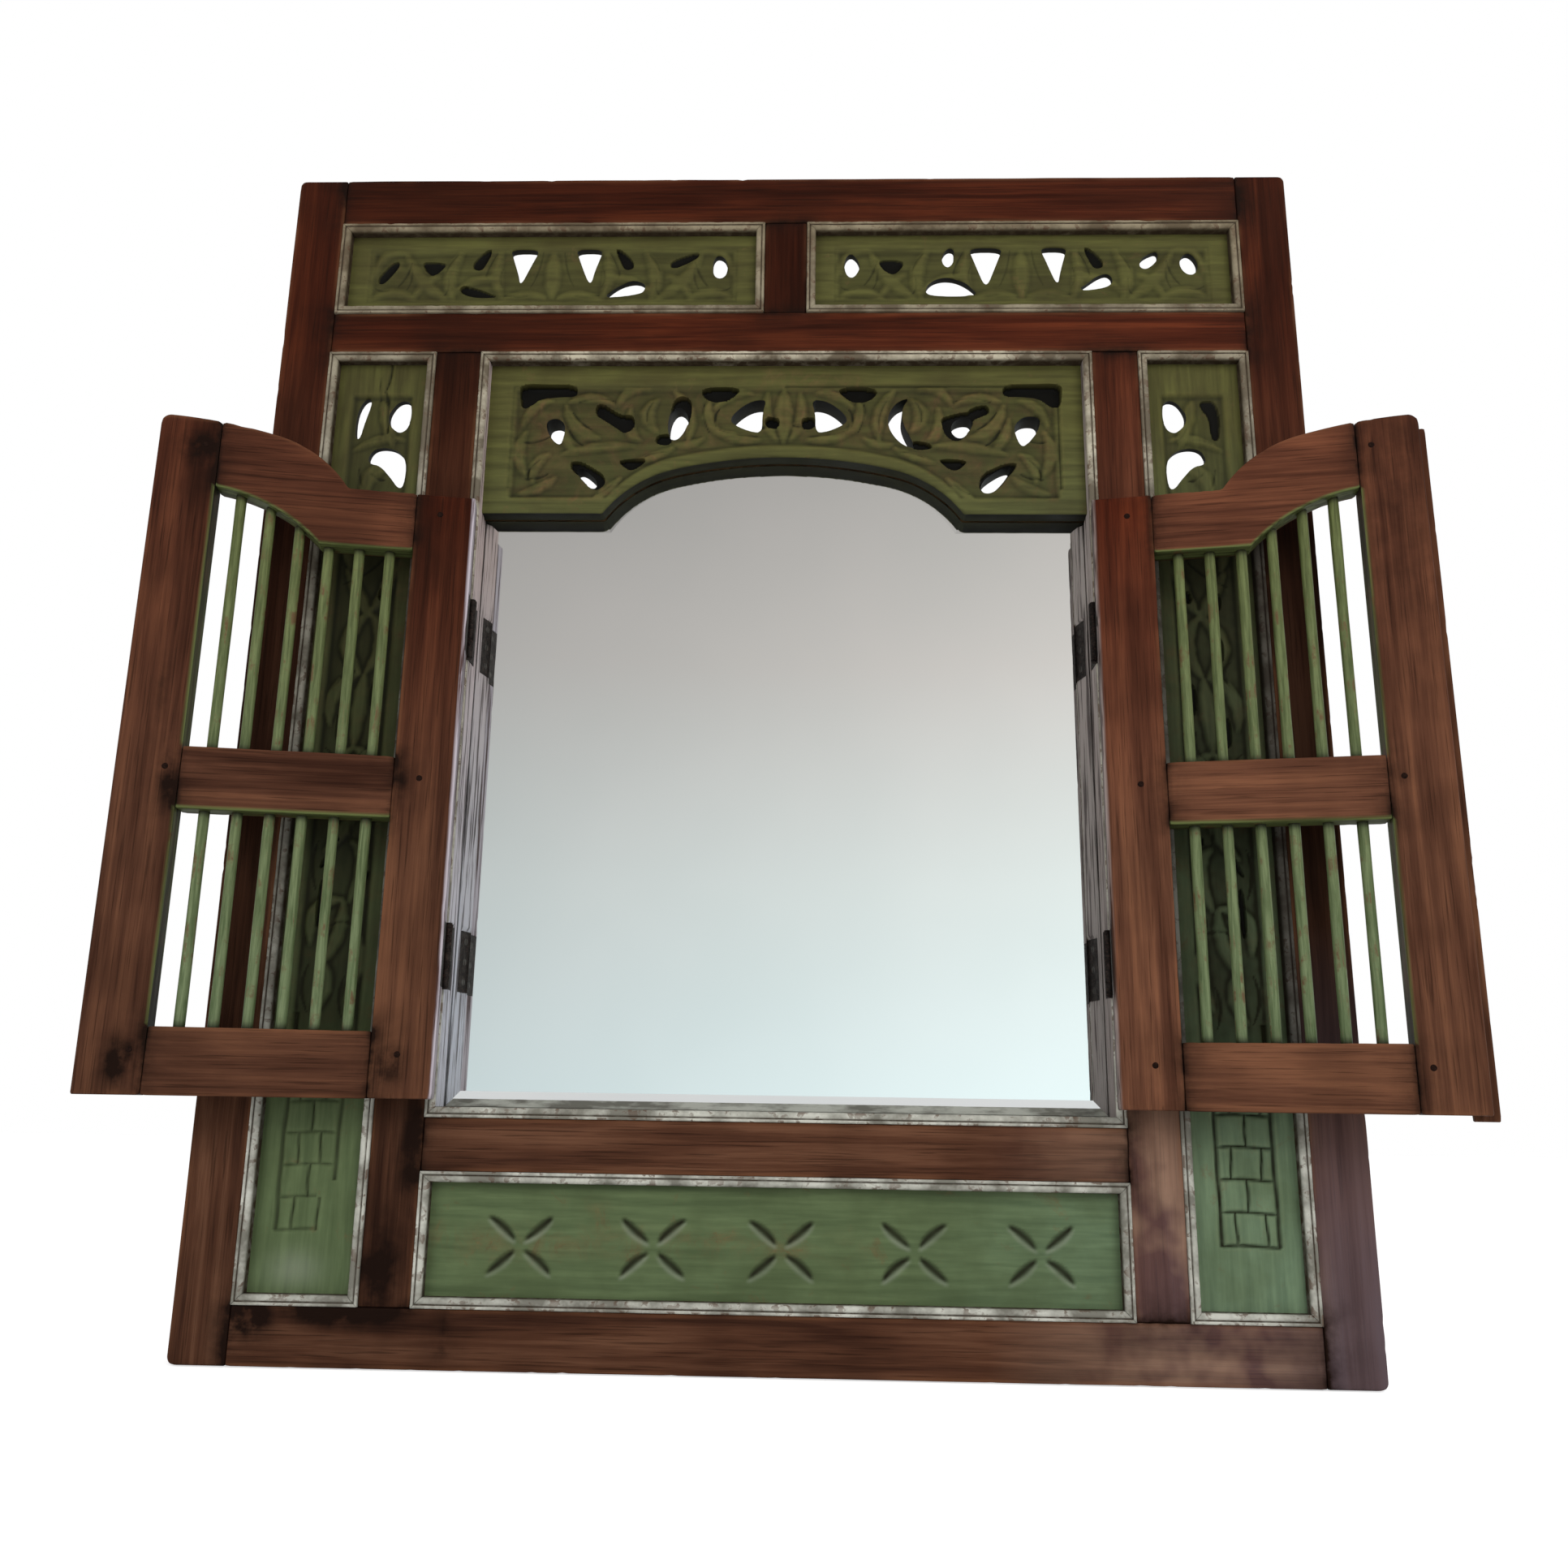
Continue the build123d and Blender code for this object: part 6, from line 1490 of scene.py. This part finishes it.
def turned_bar(side, u, low, high, seed):
    """Points of one round bar: a circle carried up its middle line, whose radius and middle wander by a
    few tenths of a millimetre."""
    heights = spaced(low - bar_let_in, high + bar_let_in, 6 * mm)
    line = np.stack([heights * 0, heights * 0, heights], -1)
    radius = bar_radius * (0.965 + 0.035 * ripple(line, 0.12, seed))
    out = radius[:, None] * np.cos(turn) + u + bar_wander * ripple(line, 0.3, seed + 1)[:, None]
    fore = radius[:, None] * np.sin(turn) + bar_depth + bar_wander * ripple(line, 0.3, seed + 2)[:, None]
    return on_leaf(side, out, heights[:, None], fore)


for hand, side in (("left", -1), ("right", 1)):
    body = f"shutter_{hand}"
    for row, label, foot in ((0, "lower", leaf_rails["bottom"][1]), (1, "upper", leaf_rails["mid"][1])):
        bars, stains = [], []
        for place, u in enumerate(bar_places):
            head = leaf_rails["mid"][0] if row == 0 else float(rail_underside(u))
            bar = turned_bar(side, u, foot, head, 200 + 40 * side + 12 * row + place)
            gaps = np.minimum(bar[..., 2] - foot, head - bar[..., 2]).ravel()
            stains += [np.exp(-np.clip(gaps, 0, None) / bar_stain), [1, 1]]
            bars.append(bar)
        surface(f"{body}_{label}_bars", body, *closed_tubes(bars), bar_paint, "green_paint",
                [f"{body}_{label}_spindles"], {"joint": np.concatenate(stains)}, crease=60)


# Pegs. Small round hardwood pegs driven through the shutters' tenons and pared off almost flush; their end
# grain took the stain darkest.

def end_grain(name):
    """End grain, nearly black with stain, with fine browner specks."""
    material, tree, shader, where = finish(name)
    rings = speckle(tree, where, 900, 4, 0.7, 1.0)
    colour = ramp(tree, rings, (0.35, paint(13, 7, 5)), (0.65, paint(40, 22, 15)))
    tree.links.new(colour, shader.inputs["Base Color"])
    shader.inputs["Specular IOR Level"].default_value = 0.08
    tree.links.new(ramp(tree, rings, (0.3, 0.75), (0.7, 0.55)), shader.inputs["Roughness"])
    bumped(tree, shader, rings, 0.2 * mm, 0.6)
    return material


peg_wood = end_grain("dark_peg_end_grain")
# distance from the pin and height of each peg; then a peg's outline, as radius and depth
peg_places = np.array([(29.5, 228), (29.5, 444), (29.5, 671.5), (222, 228), (222, 444), (222, 718.5)])
dome = np.array([(0.0, 19.0), (2.3, 19.0), (2.45, 21.0), (2.5, 23.2), (2.35, 23.55), (1.8, 23.75),
                 (0.9, 23.85), (0.0, 23.88)]) * mm
for hand, side in (("left", -1), ("right", 1)):
    body = f"shutter_{hand}"
    pegs, ends = [], []
    for u, z in peg_places:
        radius, depth = dome[1:-1, :1], np.repeat(dome[1:-1, 1:], len(turn), 1)
        out = u * mm + radius * np.cos(turn) * (1 + 0.04 * np.sin(3 * turn + u))
        pegs.append(on_leaf(side, out, z * mm + radius * np.sin(turn), depth))
        ends.append([on_leaf(side, u * mm, z * mm, dome[end, 1]) for end in (0, -1)])
    surface(f"{body}_peg_heads", body, *closed_tubes(pegs, ends), peg_wood, "shutter_wood",
            [f"{body}_pegs"], {}, crease=50)


# Studio. A pale floor under the foot of the frame, an even pale sky, and soft lamps in front, so that each
# finish shows as it is written. The glass mirrors a sky that is greyer higher up, cooler near the floor and
# darker on the left.

def seen_straight(tree):
    """One where the camera looks, straight or through something clear, and nothing for all other light."""
    path = tree.nodes.new("ShaderNodeLightPath")
    return arithmetic(tree, "MAXIMUM", path.outputs["Is Camera Ray"], path.outputs["Is Transmission Ray"])


floor_half, floor_drop = 6, 0.001
floor_corners = [(-floor_half, -floor_half), (floor_half, -floor_half), (floor_half, floor_half),
                 (-floor_half, floor_half)]
floor_mesh = bpy.data.meshes.new("studio_floor")
floor_mesh.from_pydata([(*corner, -floor_drop) for corner in floor_corners], [], [(0, 1, 2, 3)])
floor = bpy.data.objects.new("studio_floor", floor_mesh)
bpy.context.scene.collection.objects.link(floor)
floor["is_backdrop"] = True
floor_paint = bpy.data.materials.new("pale_floor")
floor_paint.use_nodes = True
tree = floor_paint.node_tree
shader = tree.nodes["Principled BSDF"]
shader.inputs["Base Color"].default_value = (0.8, 0.8, 0.8, 1)
shader.inputs["Roughness"].default_value = 0.9
glow = node(tree, "ShaderNodeEmission", {"Color": (1, 1, 1, 1), "Strength": 0.62})
both = node(tree, "ShaderNodeAddShader", {0: shader.outputs[0], 1: glow.outputs[0]})
shown = node(tree, "ShaderNodeMixShader", {0: seen_straight(tree), 1: shader.outputs[0], 2: both.outputs[0]})
tree.links.new(shown.outputs[0], tree.nodes["Material Output"].inputs[0])
floor_mesh.materials.append(floor_paint)

world = bpy.data.worlds.new("studio_sky")
bpy.context.scene.world = world
world.use_nodes = True
tree = world.node_tree
tree.nodes.clear()
sky_light = node(tree, "ShaderNodeBackground", {"Color": (1, 1, 1, 1), "Strength": 0.55})
white = node(tree, "ShaderNodeBackground", {"Color": (1, 1, 1, 1), "Strength": 1.0})
direction = tree.nodes.new("ShaderNodeTexCoord").outputs["Generated"]
parts = node(tree, "ShaderNodeSeparateXYZ", {"Vector": direction})
climb = ramp(tree, parts.outputs[2], (0.0, paint(236, 250, 250)), (0.16, paint(227, 233, 230)),
             (0.32, paint(206, 201, 196)), (0.5, paint(170, 166, 162)))
aside = spread(tree, parts.outputs[0], -0.35, 0.35)
climb = mixed(tree, aside, mixed(tree, 1.0, climb, (0.54, 0.54, 0.55, 1), "MULTIPLY"), climb)
mirror_sky = node(tree, "ShaderNodeBackground", {"Color": climb, "Strength": 1.2})
glossy = tree.nodes.new("ShaderNodeLightPath").outputs["Is Glossy Ray"]
around = node(tree, "ShaderNodeMixShader", {0: glossy, 1: sky_light.outputs[0], 2: mirror_sky.outputs[0]})
shown = node(tree, "ShaderNodeMixShader", {0: seen_straight(tree), 1: around.outputs[0], 2: white.outputs[0]})
node(tree, "ShaderNodeOutputWorld", {0: shown.outputs[0]})


def soft_lamp(name, place, aim, size, power):
    """Large square lamp turned towards a point."""
    lamp = bpy.data.lights.new(name, "AREA")
    lamp.shape, lamp.size, lamp.energy = "SQUARE", size, power
    stand = bpy.data.objects.new(name, lamp)
    bpy.context.scene.collection.objects.link(stand)
    stand.location = place
    stand.rotation_euler = (Vector(aim) - Vector(place)).to_track_quat("-Z", "Y").to_euler()
    stand.visible_glossy = False


soft_lamp("front_lamp", (1.2, -2.4, 1.9), (0, 0, 0.5), 1.6, 38)
soft_lamp("fill_lamp", (-1.8, -2.2, 0.9), (0, 0, 0.5), 1.6, 16)

bpy.context.scene.view_settings.view_transform = "Standard"

camera_place = Vector((0.0281, -1.0907, 0.1935))
heading, pitch, roll = radians(1.7716), radians(13.6958), radians(0.8960)
forward = Vector((-sin(heading) * cos(pitch), cos(heading) * cos(pitch), sin(pitch)))
level = Vector((cos(heading), sin(heading), 0))
upright = level.cross(forward)
right = level * cos(roll) + upright * sin(roll)
top = upright * cos(roll) - level * sin(roll)
picture, lens_pixels = 1932, 1638.6248
axis_across, axis_down = 951.9495, 964.7202
camera_data = bpy.data.cameras.new("view")
camera_data.sensor_width = 36
camera_data.lens = lens_pixels * camera_data.sensor_width / picture
camera_data.shift_x = (picture / 2 - axis_across) / picture
camera_data.shift_y = (axis_down - picture / 2) / picture
camera_data.clip_start = 0.01
camera = bpy.data.objects.new("view", camera_data)
bpy.context.scene.collection.objects.link(camera)
facing = Matrix((right, top, -forward)).transposed()
camera.matrix_world = Matrix.Translation(camera_place) @ facing.to_4x4()
bpy.context.scene.camera = camera

low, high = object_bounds()
